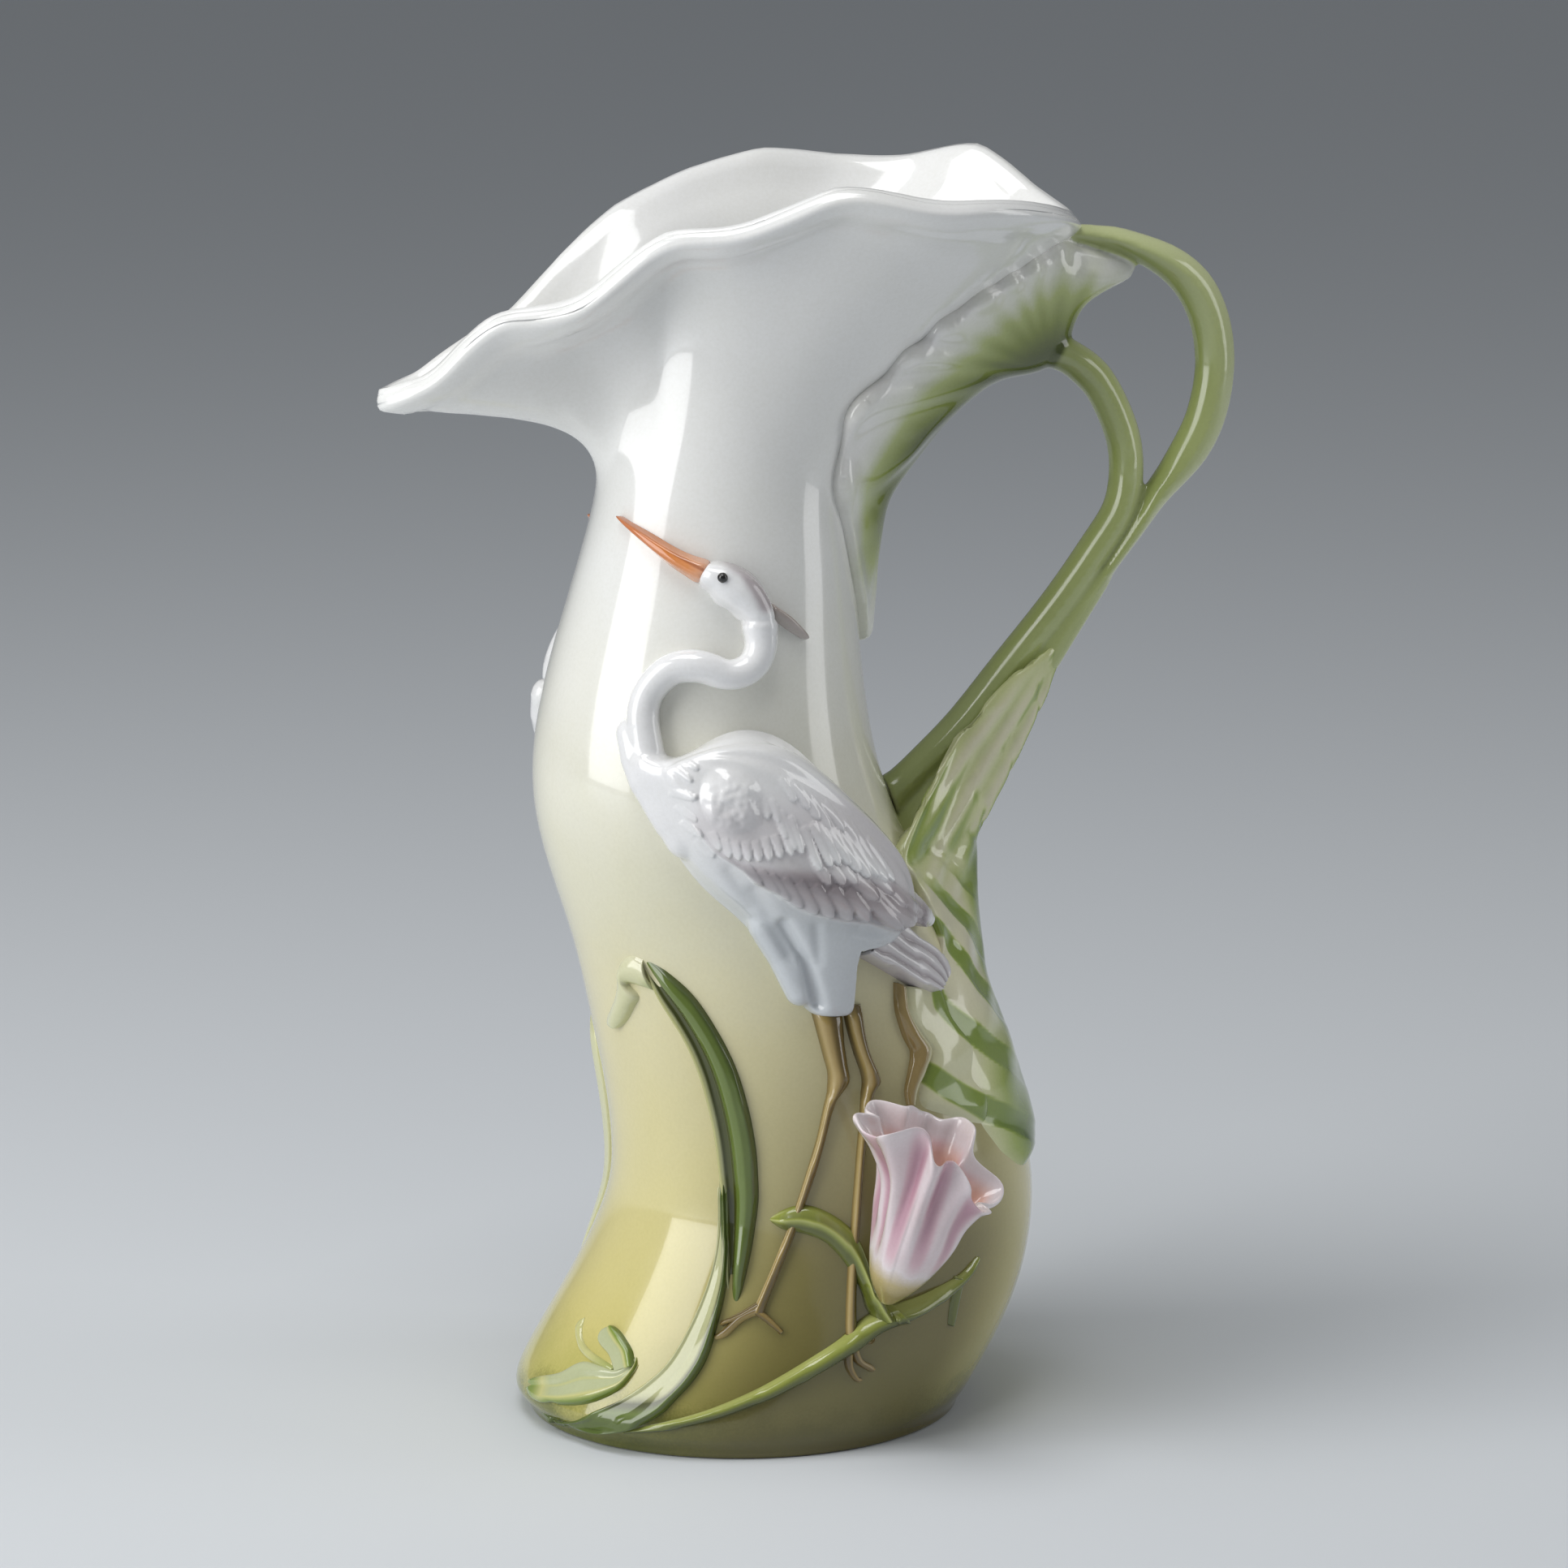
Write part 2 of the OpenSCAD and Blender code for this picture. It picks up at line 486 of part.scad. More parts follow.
module egret_eye(far = false) {
  eye_r = 1.35;
  q = 0.62;
  w = 0.5;
  row = spline(head_rows, q);
  c = pad_uv(row, w, far);
  nn = normal(c[0], c[1]);
  side = unit(cross([0, 0, 1], nn));
  up = cross(nn, side);
  seat = over(c[0], c[1], 2*seam + 0.5 + bird_h*row[4]*swell(w));
  color("#1d1b1a")
  skin([for (a = [0, 30, 60]) [for (i = [0:9]) seat
    + (side*cos(36*i) + up*sin(36*i))*eye_r*cos(a) + nn*eye_r*sin(a)]], seat, seat + nn*eye_r);
}

module leg(rows, toe_rows, far) {
  rod([for (r = rows) [r[0], r[1], leg_half*r[2], leg_half*1.4*r[2], 0]], steps(16, far), far, 5);
  rod([for (r = toe_rows) [r[0], r[1], leg_half*r[2], leg_half*1.2*r[2], 0]], 3, far, 5);
}
module egret_leg_front(far = false)
  color("#8b7a55") leg([[271.9, 119.4, 1.1], [270.6, 113, 0.9], [269.3, 104.3, 1.25], [264.6, 93.2, 0.9],
    [259, 81.5, 0.9], [253, 69.6, 1], [250.2, 58.5, 0.95], [248.7, 46, 0.95], [246.8, 38.4, 1.1], [244.6, 35.4, 0.8]],
    [[247.2, 38, 0.9], [252, 36.4, 0.9], [255.8, 34.7, 0.6]], far);
module egret_leg_rear(far = false)
  color("#6d6048") leg([[277, 119, 1.1], [280, 112, 0.9], [282, 101.5, 1.25], [276, 95.2, 0.9], [272.5, 88, 0.9],
    [270, 79, 0.9], [267.6, 66, 1], [268, 54, 0.95], [269.6, 44, 0.95], [273.5, 34, 1], [278.8, 27.3, 1], [284, 23.6, 0.7]],
    [[278.4, 27.6, 0.9], [279.4, 23.6, 0.9], [280.5, 20.4, 0.6]], far);

module far_egret_body() egret_body(true);
module far_egret_wing() egret_wing(true);
module far_egret_tail() egret_tail(true);
module far_egret_neck() egret_neck(true);
module far_egret_head() egret_head(true);
module far_egret_bill() egret_bill(true);
module far_egret_crest() egret_crest(true);
module far_egret_eye() egret_eye(true);
module far_egret_leg_front() egret_leg_front(true);
module far_egret_leg_rear() egret_leg_rear(true);

// PLANTS
flower_stem_rows = [for (r = [[236.5, 6.5, 0.6, 0], [244, 11.4, 0.85, 0.3], [253, 16.7, 1, 0.6], [260.5, 21.6, 1, 1],
  [267.5, 28, 1, 2.4], [273, 35, 1, 3.4], [277.4, 41.4, 1, 4.4]])
  [r[0], r[1], flower_stem_half*r[2], flower_stem_half*1.8*r[2], r[3]]];
module flower_stem()
  color("#7c8f3e") rod(flower_stem_rows, 16, false, 8);

flower_lean = [0.22, -0.29, 0.94];
stem_end = flower_stem_rows[len(flower_stem_rows) - 1];
stem_tip = over(stem_end[0], stem_end[1], seam + stem_end[4] + stem_end[3]/2);
module flower_cup() {
  n = 24;
  waves = 6;
  axis = unit(flower_lean);
  across = unit(cross([0, 1, 0], axis));
  third = cross(axis, across);
  seat = stem_tip + axis*(seam + 1.4);
  girth = [[0, 2], [0.05, 0.42*flower_r], [0.16, 0.8*flower_r], [0.32, flower_r], [0.55, flower_r*1.02],
    [0.76, mix(flower_r, flower_rim_r, 0.28)], [0.9, mix(flower_r, flower_rim_r, 0.7)], [1, flower_rim_r]];
  at = function(f, a, inset)
    let (k = f*f*f, ruffle = 2.2*k*sin(waves*a) + 0.5*f*cos(5*a), r = through(girth, f) + ruffle - inset)
    seat + axis*(flower_h*f + 1.6*k*cos(waves*a + 60) + 4*k*sin(a)) + (across*cos(a) + third*sin(a))*r;
  ring = function(f, inset) [for (i = [0:n - 1]) at(f, 360*i/n, inset)];
  outs = [0.02, 0.06, 0.14, 0.26, 0.42, 0.58, 0.72, 0.84, 0.93, 1];
  ins = [1, 0.88, 0.72, 0.55, 0.38, 0.24, 0.14];
  color("#d8b5bd")
  skin(concat([for (f = outs) ring(f, 0)], [for (f = ins) ring(f, petal_t)]),
    seat, seat + axis*flower_h*0.11);
}

// rods of a plant: rows [bearing, station, half width, relief, lift] in shares of one size
function shares_of(size, rows) = [for (r = rows) [r[0], r[1], r[2]*size, r[3]*size, r[4]*size]];
module flower_bract()
  color("#8a9c45") rod(shares_of(flower_stem_half, [[270, 42, 0.7, 1.4, 1.1], [265.6, 49, 1.1, 1.17, 1.1],
    [261, 57, 1.38, 1.03, 1.1], [255.5, 63, 1.45, 0.97, 1.1], [249.5, 65.8, 1.17, 0.9, 1.17],
    [243.4, 64.8, 0.35, 0.55, 1.6]]), 12, false, 8);

module flower_side_stem()
  color("#6f8338") rod(shares_of(flower_stem_half, [[281.6, 38.6, 0.76, 1.3, 0.9], [286, 36.6, 0.72, 1.24, 0.55],
    [291, 37, 0.7, 1.17, 0.2], [296, 40, 0.55, 1.03, 0.07], [301, 45, 0.28, 0.7, 0]]), 9, false, 8);

blade_rows = [
  [219.4, 130, 222, 133.5, 0.36],
  [225.1, 119.4, 229.4, 130.1, 0.73],
  [229.5, 108.5, 236.4, 121.6, 1],
  [230.9, 98.4, 241.6, 110.6, 1],
  [231.6, 82.5, 243.4, 98.3, 1],
  [232.2, 66, 243.6, 83.4, 1],
  [233.4, 55.4, 242.3, 69, 1],
  [234.6, 48, 241.6, 56, 1],
  [236.2, 39.1, 242.4, 42.4, 1],
  [235.6, 27.5, 242, 31.5, 1],
  [232.8, 17.8, 239.6, 20.4, 0.91],
  [227.4, 10, 233.4, 10.4, 0.73],
  [219.5, 6.6, 224, 3.6, 0.27],
];
module blade_leaf()
  color("#6b8a3a") pad(blade_rows, blade_h, 20, 6, false, 0, 0.6);

module blade_tip()
  color("#d9d8ae") pad([
    [211.5, 131.5, 217.8, 132, 0.44],
    [207, 126.5, 216.6, 124.5, 0.51],
    [203.4, 119.5, 210.5, 117.5, 0.44],
    [201.4, 113.4, 204, 112.4, 0.18],
  ], blade_h, 6, 6);

module sprout_leaf()
  color("#b7c98a") {
    rod(shares_of(sprout_h, [[187.5, 9.6, 0.18, 0.29, 0.03], [195, 10.8, 0.71, 0.61, 0.03], [203, 12.6, 1, 0.79, 0.03],
      [211.5, 16, 1.04, 0.89, 0.03], [218, 21.4, 0.89, 1, 0.03], [217.5, 27.4, 0.57, 0.96, 0.03],
      [212, 31.4, 0.16, 0.61, 0.03]]), 14, false, 8);
    rod(shares_of(sprout_h, [[209, 18, 0.54, 0.82, 0.03], [204.5, 22.5, 0.5, 0.82, 0.03], [199.5, 26, 0.36, 0.68, 0.03],
      [195.6, 30.4, 0.11, 0.32, 0.03]]), 6, false, 6);
  }

module front_leaf()
  color("#d3d49b") pad([
    [154, 108, 157, 108.5, 0.11],
    [148, 102, 165, 102, 0.36],
    [143, 91, 168, 91, 0.44],
    [139, 77, 167.5, 77, 0.44],
    [137, 62, 164, 62, 0.4],
    [139, 48, 158, 48, 0.29],
    [144, 36, 151, 36, 0.11],
  ], blade_h, 10, 8, false, 0.2, 0.6);

vessel_body();
handle_outer_stem();
handle_inner_stem();
handle_upper_leaf();
handle_lower_leaf();
egret_body();
egret_wing();
egret_tail();
egret_neck();
egret_head();
egret_bill();
egret_crest();
egret_eye();
egret_leg_front();
egret_leg_rear();
flower_cup();
flower_stem();
flower_bract();
flower_side_stem();
blade_leaf();
blade_tip();
sprout_leaf();
front_leaf();
far_egret_body();
far_egret_wing();
far_egret_tail();
far_egret_neck();
far_egret_head();
far_egret_bill();
far_egret_crest();
far_egret_eye();
far_egret_leg_front();
far_egret_leg_rear();
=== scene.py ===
import json
import math

import bpy
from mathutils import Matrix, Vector
from mathutils.bvhtree import BVHTree
from mathutils.kdtree import KDTree
from mathutils.noise import fractal

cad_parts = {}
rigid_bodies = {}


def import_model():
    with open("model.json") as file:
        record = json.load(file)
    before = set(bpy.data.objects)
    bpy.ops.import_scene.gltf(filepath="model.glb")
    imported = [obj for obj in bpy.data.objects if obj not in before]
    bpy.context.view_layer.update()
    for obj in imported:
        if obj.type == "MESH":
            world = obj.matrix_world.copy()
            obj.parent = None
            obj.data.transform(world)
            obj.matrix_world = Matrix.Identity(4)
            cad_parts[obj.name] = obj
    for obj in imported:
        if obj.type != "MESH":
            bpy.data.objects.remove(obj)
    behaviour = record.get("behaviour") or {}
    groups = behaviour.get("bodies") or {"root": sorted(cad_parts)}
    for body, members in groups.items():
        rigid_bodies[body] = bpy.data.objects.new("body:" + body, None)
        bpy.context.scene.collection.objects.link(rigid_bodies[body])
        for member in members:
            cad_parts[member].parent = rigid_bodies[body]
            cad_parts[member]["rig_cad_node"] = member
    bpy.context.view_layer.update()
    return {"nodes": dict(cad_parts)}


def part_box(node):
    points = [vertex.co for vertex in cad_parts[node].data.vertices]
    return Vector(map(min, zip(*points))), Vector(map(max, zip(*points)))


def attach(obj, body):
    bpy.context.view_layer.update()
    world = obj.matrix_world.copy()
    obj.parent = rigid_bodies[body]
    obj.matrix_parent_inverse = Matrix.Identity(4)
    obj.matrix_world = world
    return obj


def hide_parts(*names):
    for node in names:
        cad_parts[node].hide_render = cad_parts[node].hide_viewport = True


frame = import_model()
bpy.context.preferences.edit.use_global_undo = False

MM = 0.001
PLANE = 15.3          # depth of the handle's middle plane, in mm
SINK = 0.8            # depth of a strip's edges under the wall, in mm
CAMERA_GAP = 1.8      # distance of the camera from the middle of the view, in m
STRIP_WALL = 1.2      # thickness of a strip, in mm
PLACES = "across", "along"      # values that hold a point's place on its strip

# reach of the body to the spout, to the handle and to the sides by height, in mm
LEVELS = [
    (0, 76, 40, 55), (9, 80.5, 46, 58), (34, 66.5, 58.5, 55.5), (66, 54, 61.5, 53), (120, 61.5, 45, 49),
    (178, 75, 19, 45), (250, 58.3, 10.5, 32.5)]


# --- small helpers

def ease(a, b, x):
    """0 before a, 1 after b and a soft rise between; a may be the larger one."""
    f = min(max((x - a) / (b - a), 0.0), 1.0)
    return f * f * (3 - 2 * f)


def along(rows, x):
    """Value at x on straight runs through rows of (x, value)."""
    if x <= rows[0][0]:
        return rows[0][1]
    for (a, p), (b, q) in zip(rows, rows[1:]):
        if x <= b:
            return p + (q - p) * (x - a) / (b - a)
    return rows[-1][1]


def smooth_level(z):
    """Reach to the spout, to the handle and to the sides on a smooth curve through the levels."""
    last = len(LEVELS) - 1
    i = next((k for k in range(last) if z <= LEVELS[k + 1][0]), last - 1)
    run = LEVELS[i + 1][0] - LEVELS[i][0]
    f = min(max((z - LEVELS[i][0]) / run, 0), 1)
    g = 1 - f
    reaches = []
    for k in (1, 2, 3):
        def slope(j):
            low, high = LEVELS[max(j - 1, 0)], LEVELS[min(j + 1, last)]
            return (high[k] - low[k]) / (high[0] - low[0])
        reaches.append(LEVELS[i][k] * g * g * (1 + 2 * f) + LEVELS[i + 1][k] * f * f * (3 - 2 * f)
                       + slope(i) * run * f * g * g - slope(i + 1) * run * f * f * g)
    front, back, side = reaches
    return (back - front) / 2, (back + front) / 2, side


RINGS = [smooth_level(z / 2) for z in range(501)]


def body_ring(z):
    """Middle, half length and half depth of the body at a height."""
    return RINGS[min(max(round(z * 2), 0), 500)]


def bearing(p):
    """Degrees round the body from the handle, -180 to 180, the bird's side below 0."""
    middle, length, depth = body_ring(p.z)
    return math.degrees(math.atan2((p.y - PLANE) / depth, (p.x - middle) / length))


def outwards(p):
    """Level direction that leads straight off the body at a point."""
    middle, length, depth = body_ring(p.z)
    return Vector(((p.x - middle) / length ** 2, (p.y - PLANE) / depth ** 2, 0)).normalized()


def off_line(p, line):
    """Distance of (x, z) from a bent line, and how far along the line that is, 0 to 1."""
    best = (1e9, 0)
    for k, ((ax, az), (bx, bz)) in enumerate(zip(line, line[1:])):
        dx, dz = bx - ax, bz - az
        f = min(max(((p.x - ax) * dx + (p.z - az) * dz) / (dx * dx + dz * dz), 0), 1)
        gap = math.hypot(p.x - ax - dx * f, p.z - az - dz * f)
        best = min(best, (gap, (k + f) / (len(line) - 1)))
    return best


def take(piece):
    """Select one piece alone and make it the active one."""
    bpy.ops.object.select_all(action="DESELECT")
    piece.select_set(True)
    bpy.context.view_layer.objects.active = piece


def work(piece, kind, **settings):
    """Add one modifier to a piece and apply it."""
    take(piece)
    step = piece.modifiers.new(kind.lower(), kind)
    for key, value in settings.items():
        setattr(step, key, value)
    bpy.ops.object.modifier_apply(modifier=step.name)


def smooth_out(piece, levels):
    """Subdivide and smooth a piece."""
    work(piece, "SUBSURF", levels=levels, render_levels=levels)
    bpy.ops.object.shade_smooth()


def copy_of(node, name):
    """A loose copy of a CAD node with its points merged and its triangles paired."""
    take(frame["nodes"][node])
    bpy.ops.object.duplicate()
    piece = bpy.context.active_object
    piece.name = piece.data.name = name
    del piece["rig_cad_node"]
    piece.data.materials.clear()
    bpy.ops.object.mode_set(mode="EDIT")
    bpy.ops.mesh.select_all(action="SELECT")
    bpy.ops.mesh.customdata_custom_splitnormals_clear()
    bpy.ops.mesh.mark_sharp(clear=True)
    bpy.ops.mesh.remove_doubles(threshold=1e-5)
    bpy.ops.mesh.tris_convert_to_quads(face_threshold=1.2, shape_threshold=1.2)
    bpy.ops.object.mode_set(mode="OBJECT")
    return piece


def hold_shape(piece, rounds=2):
    """Move a piece's points so that, once smoothed, its face runs through where they were."""
    aim = [v.co.copy() for v in piece.data.vertices]
    for _ in range(rounds):
        trial = piece.modifiers.new("trial", "SUBSURF")
        trial.levels = trial.render_levels = 1
        made = piece.evaluated_get(bpy.context.evaluated_depsgraph_get()).data.vertices
        shift = [goal - made[i].co for i, goal in enumerate(aim)]
        piece.modifiers.remove(trial)
        for v, move in zip(piece.data.vertices, shift):
            v.co += move


def cast(node, levels=2, swell=0.0):
    """A node's shape in soft clay, smoothed without drawing it in."""
    piece = copy_of(node, "glazed_" + node)
    if swell:
        work(piece, "DISPLACE", strength=swell * MM, mid_level=0)
    hold_shape(piece)
    smooth_out(piece, levels)
    return piece


def fuse(nodes, name, voxel, swell, rounds, shape, clay):
    """Pieces and clay luted together and worked over, so that each flows into the next."""
    parts = list(clay)
    for node in nodes:
        part = cast(node, 2, swell)
        shape(part, node)
        parts.append(part)
    take(parts[-1])
    for part in parts[:-1]:
        part.select_set(True)
    bpy.ops.object.join()
    piece = parts[-1]
    piece.name = piece.data.name = name
    work(piece, "REMESH", mode="VOXEL", voxel_size=voxel * MM)
    work(piece, "SMOOTH", factor=0.5, iterations=rounds)
    bpy.ops.object.shade_smooth()
    return piece


def pull(piece, centre, radius, move):
    """Draw the clay near a point along, most at the point itself."""
    for v in piece.data.vertices:
        gap = (v.co / MM - Vector(centre)).length
        if gap < radius:
            v.co += Vector(move) * MM * ease(radius, 0, gap)


def surface_of(node):
    """Lookup for the nearest point on a CAD node."""
    return BVHTree.FromObject(frame["nodes"][node], bpy.context.evaluated_depsgraph_get())


WALL = surface_of("vessel_body")


def lute(piece, depth=0.8):
    """Press the side that faces the body into its wall, so that no gap shows round the piece."""
    normals = [v.normal.copy() for v in piece.data.vertices]
    for v, n in zip(piece.data.vertices, normals):
        spot, out, _, gap = WALL.find_nearest(v.co, 6 * MM)
        if spot and n.dot(out) < -0.05:
            v.co = v.co.lerp(spot - out * depth * MM, ease(5, 2.5, gap / MM) * ease(-0.05, -0.4, n.dot(out)))


# front view: turn and tilt of the camera, its directions and the middle of the view
TURN = math.radians(12)
BACK = Vector((-math.sin(TURN) * math.cos(TURN), -math.cos(TURN) * math.cos(TURN), math.sin(TURN)))
RIGHT = Vector((math.cos(TURN), -math.sin(TURN), 0))
UP = BACK.cross(RIGHT)
MIDDLE = Vector((-6.5, PLANE, 172.5)) * MM
FAR_SHIFT = -12.5     # the far bird stands this much nearer to the spout, in mm


def meet_wall(start, way, nearby):
    """Spot where a line meets the wall, and its way out; the spot next to nearby if it passes by."""
    spot, out = WALL.ray_cast(start, way)[:2]
    return (spot, out) if spot else WALL.find_nearest(nearby)[:2]


def seen(u, v, far=False):
    """Spot of the wall u mm right of and v mm above the middle of the front view, and its way out;
    or the spot across from it, where the far bird stands."""
    at = MIDDLE + (RIGHT * u + UP * v) * MM
    start = MIDDLE + BACK * CAMERA_GAP
    spot, out = meet_wall(start, (at - start).normalized(), at + BACK * 0.03)
    if far:
        start = Vector((spot.x + FAR_SHIFT * MM, 0.3, spot.z))
        spot, out = meet_wall(start, Vector((0, -1, 0)), start - Vector((0, 0.25, 0)))
    return spot, out


def keep(piece, name, values):
    """Keep a value at every point of a piece, for its colours to follow."""
    layer = piece.data.attributes.new(name, "FLOAT", "POINT")
    layer.data.foreach_set("value", values)


def sunk(rise, share):
    """Height of a strip that rises from just under the wall; a share of 0 leaves it there."""
    return (rise + SINK) * share - SINK


def strip(name, rows, height_at, far=False, across=16, steps=7):
    """A strip of clay pressed on the body between two edges; a row holds a place on either edge."""
    last = len(rows) - 1
    bpy.ops.object.select_all(action="DESELECT")
    bpy.ops.mesh.primitive_grid_add(x_subdivisions=across, y_subdivisions=last * steps, size=2)
    piece = bpy.context.active_object
    piece.name = piece.data.name = name
    places = [((v.co.x + 1) / 2, (v.co.y + 1) / 2 * last) for v in piece.data.vertices]
    for v, (w, k) in zip(piece.data.vertices, places):
        i = min(int(k), last - 1)
        f = k - i
        near = rows[max(i - 1, 0)], rows[i], rows[i + 1], rows[min(i + 2, last)]
        row = [b + 0.5 * f * (c - a + f * (2 * a - 5 * b + 4 * c - d + f * (3 * (b - c) + d - a)))
               for a, b, c, d in zip(*near)]
        spot, out = seen(row[0] + (row[2] - row[0]) * w, row[1] + (row[3] - row[1]) * w, far)
        v.co = spot + out * height_at(w, k) * MM
    for label, values in zip(PLACES, zip(*places)):
        keep(piece, label, values)
    if sum(face.normal.dot(outwards(face.center / MM)) for face in piece.data.polygons) < 0:
        bpy.ops.object.mode_set(mode="EDIT")
        bpy.ops.mesh.select_all(action="SELECT")
        bpy.ops.mesh.flip_normals()
        bpy.ops.object.mode_set(mode="OBJECT")
    smooth_out(piece, 1)
    work(piece, "SOLIDIFY", thickness=STRIP_WALL * MM, offset=-1)
    return piece


def round_strip(name, rows, rise, far=False, across=12):
    """A strip with a round back; rise holds its height by row."""
    def height(w, k):
        return sunk(along(rise, k), math.sqrt(max(1 - (2 * w - 1) ** 2, 0)))

    return strip(name, rows, height, far, across)


def paint_along(piece, name, value_at):
    """Keep a value from 0 to 1 at every point of a strip, from its place across and along it."""
    across, run = ([item.value for item in piece.data.attributes[label].data] for label in PLACES)
    keep(piece, name, [min(max(value_at(w, k, v.normal), 0.0), 1.0)
                       for w, k, v in zip(across, run, piece.data.vertices)])


def join(name, *parts):
    """Several strips as one piece."""
    take(parts[0])
    for part in parts[1:]:
        part.select_set(True)
    bpy.ops.object.join()
    parts[0].name = parts[0].data.name = name
    for label in PLACES:
        parts[0].data.attributes.remove(parts[0].data.attributes[label])
    return parts[0]


def ball(centre, radius):
    """A ball of clay."""
    bpy.ops.object.select_all(action="DESELECT")
    bpy.ops.mesh.primitive_uv_sphere_add(segments=18, ring_count=10, radius=radius * MM, location=centre)
    return bpy.context.active_object


def between(rows, gap):
    """Places no more than a gap apart on straight runs through rows, (x, z) first in each row."""
    for a, b in zip(rows, rows[1:]):
        count = max(int(math.hypot(b[0] - a[0], b[1] - a[1]) / gap), 1)
        for j in range(count + (b is rows[-1])):
            yield [p + (q - p) * j / count for p, q in zip(a, b)]


def pads(rows, side):
    """Balls of clay pressed on the wall one after another; a row is x, z, radius and lift."""
    made = []
    for x, z, radius, lift in between(rows, 1.6):
        start = Vector((x + (FAR_SHIFT if side > 0 else 0), side * 300, z)) * MM
        spot, out = WALL.ray_cast(start, Vector((0, -side, 0)))[:2]
        made.append(ball(spot + out * lift * MM, radius))
    return made


def raise_where(piece, height, share_at):
    """Raise a piece's face by height where share_at is 1; a height below 0 sinks it."""
    group = piece.vertex_groups.new(name="raised")
    for v in piece.data.vertices:
        share = share_at(v.co / MM, v.normal)
        if share > 0.001:
            group.add([v.index], min(share, 1.0), "REPLACE")
    work(piece, "DISPLACE", strength=height * MM, mid_level=0, vertex_group=group.name)
    piece.vertex_groups.clear()


def paint(piece, name, value_at):
    """Keep a value from 0 to 1 at every point of a piece, from the point and its normal."""
    keep(piece, name, [min(max(value_at(v.co / MM, v.normal), 0.0), 1.0) for v in piece.data.vertices])


def settle(piece, finish, *nodes):
    """Give a piece its finish and its place on the body, and hide the nodes that it stands for."""
    piece.data.materials.clear()
    piece.data.materials.append(finish)
    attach(piece, "root")
    if nodes:
        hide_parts(*nodes)
    return piece


# --- finishes

def colour(code):
    """Linear colour of a six-figure code."""
    parts = [int(code[i:i + 2], 16) / 255 for i in (0, 2, 4)]
    return [p / 12.92 if p <= 0.04045 else ((p + 0.055) / 1.055) ** 2.4 for p in parts] + [1.0]


def new_group(name, inputs, outputs):
    group = bpy.data.node_groups.new(name, "ShaderNodeTree")
    for label, kind, value in inputs:
        socket = group.interface.new_socket(label, in_out="INPUT", socket_type="NodeSocket" + kind)
        if value is not None:
            socket.default_value = value
    for label, kind in outputs:
        group.interface.new_socket(label, in_out="OUTPUT", socket_type="NodeSocket" + kind)
    return group, group.nodes.new("NodeGroupInput"), group.nodes.new("NodeGroupOutput")


def feed(tree, node, inputs):
    """Give inputs of a node a value or the output that leads there."""
    for label, value in inputs.items():
        if isinstance(value, bpy.types.NodeSocket):
            tree.links.new(value, node.inputs[label])
        else:
            node.inputs[label].default_value = value


def add_node(tree, kind, inputs, **settings):
    """A new shader node with its settings and inputs."""
    made = tree.nodes.new(kind)
    for key, value in settings.items():
        setattr(made, key, value)
    feed(tree, made, inputs)
    return made


def noise(tree, place, scale, detail):
    inputs = {"Vector": place, "Scale": scale, "Detail": detail}
    return add_node(tree, "ShaderNodeTexNoise", inputs).outputs["Fac"]


def spread(tree, value, low, high, to_low, to_high):
    inputs = {"Value": value, "From Min": low, "From Max": high, "To Min": to_low, "To Max": to_high}
    return add_node(tree, "ShaderNodeMapRange", inputs).outputs["Result"]


def math_node(tree, kind, a, b):
    return add_node(tree, "ShaderNodeMath", {0: a, 1: b}, operation=kind).outputs["Value"]


def blend_colours(tree, share, a, b, kind="MIX"):
    inputs = {0: share, 6: a, 7: b}
    return add_node(tree, "ShaderNodeMix", inputs, data_type="RGBA", blend_type=kind).outputs[2]


def make_glaze():
    """Clear glaze over painted clay: pooled tone, pigment grain, uneven gloss and soft waves."""
    group, start, end = new_group(
        "clear glaze",
        [("Paint", "Color", None), ("Place", "Vector", None), ("Pooling", "Float", 0.3)],
        [("Color", "Color"), ("Roughness", "Float"), ("Height", "Float")])
    place = start.outputs["Place"]
    cloud = spread(group, noise(group, place, 38, 3), 0.35, 0.7, 0, 1)
    pooled = math_node(group, "MULTIPLY", cloud, start.outputs["Pooling"])
    toned = blend_colours(group, pooled, start.outputs["Paint"], [0.78, 0.78, 0.68, 1], "MULTIPLY")
    grain = noise(group, place, 1100, 2)
    specks = spread(group, grain, 0.35, 0.75, 0, 0.12)
    grained = blend_colours(group, specks, toned, [0.7, 0.68, 0.6, 1], "MULTIPLY")
    gloss = spread(group, noise(group, place, 85, 2), 0.3, 0.7, 0.09, 0.2)
    waves = noise(group, place, 52, 1)
    height = math_node(group, "ADD", waves, math_node(group, "MULTIPLY", grain, 0.06))
    feed(group, end, {"Color": grained, "Roughness": gloss, "Height": height})
    return group


def make_spray():
    """Edge of a sprayed colour: a mask broken up by soft clouds and fine droplets."""
    group, start, end = new_group(
        "sprayed edge",
        [("Mask", "Float", 0.0), ("Place", "Vector", None), ("Amount", "Float", 0.15)],
        [("Mask", "Float")])
    place = start.outputs["Place"]
    cloud = math_node(group, "SUBTRACT", noise(group, place, 60, 4), 0.5)
    fine = math_node(group, "SUBTRACT", noise(group, place, 1500, 1), 0.5)
    both = math_node(group, "ADD", cloud, math_node(group, "MULTIPLY", fine, 0.35))
    shift = math_node(group, "MULTIPLY", both, start.outputs["Amount"])
    total = math_node(group, "ADD", start.outputs["Mask"], shift)
    total.node.use_clamp = True
    feed(group, end, {"Mask": total})
    return group


GLAZE = make_glaze()
SPRAY = make_spray()


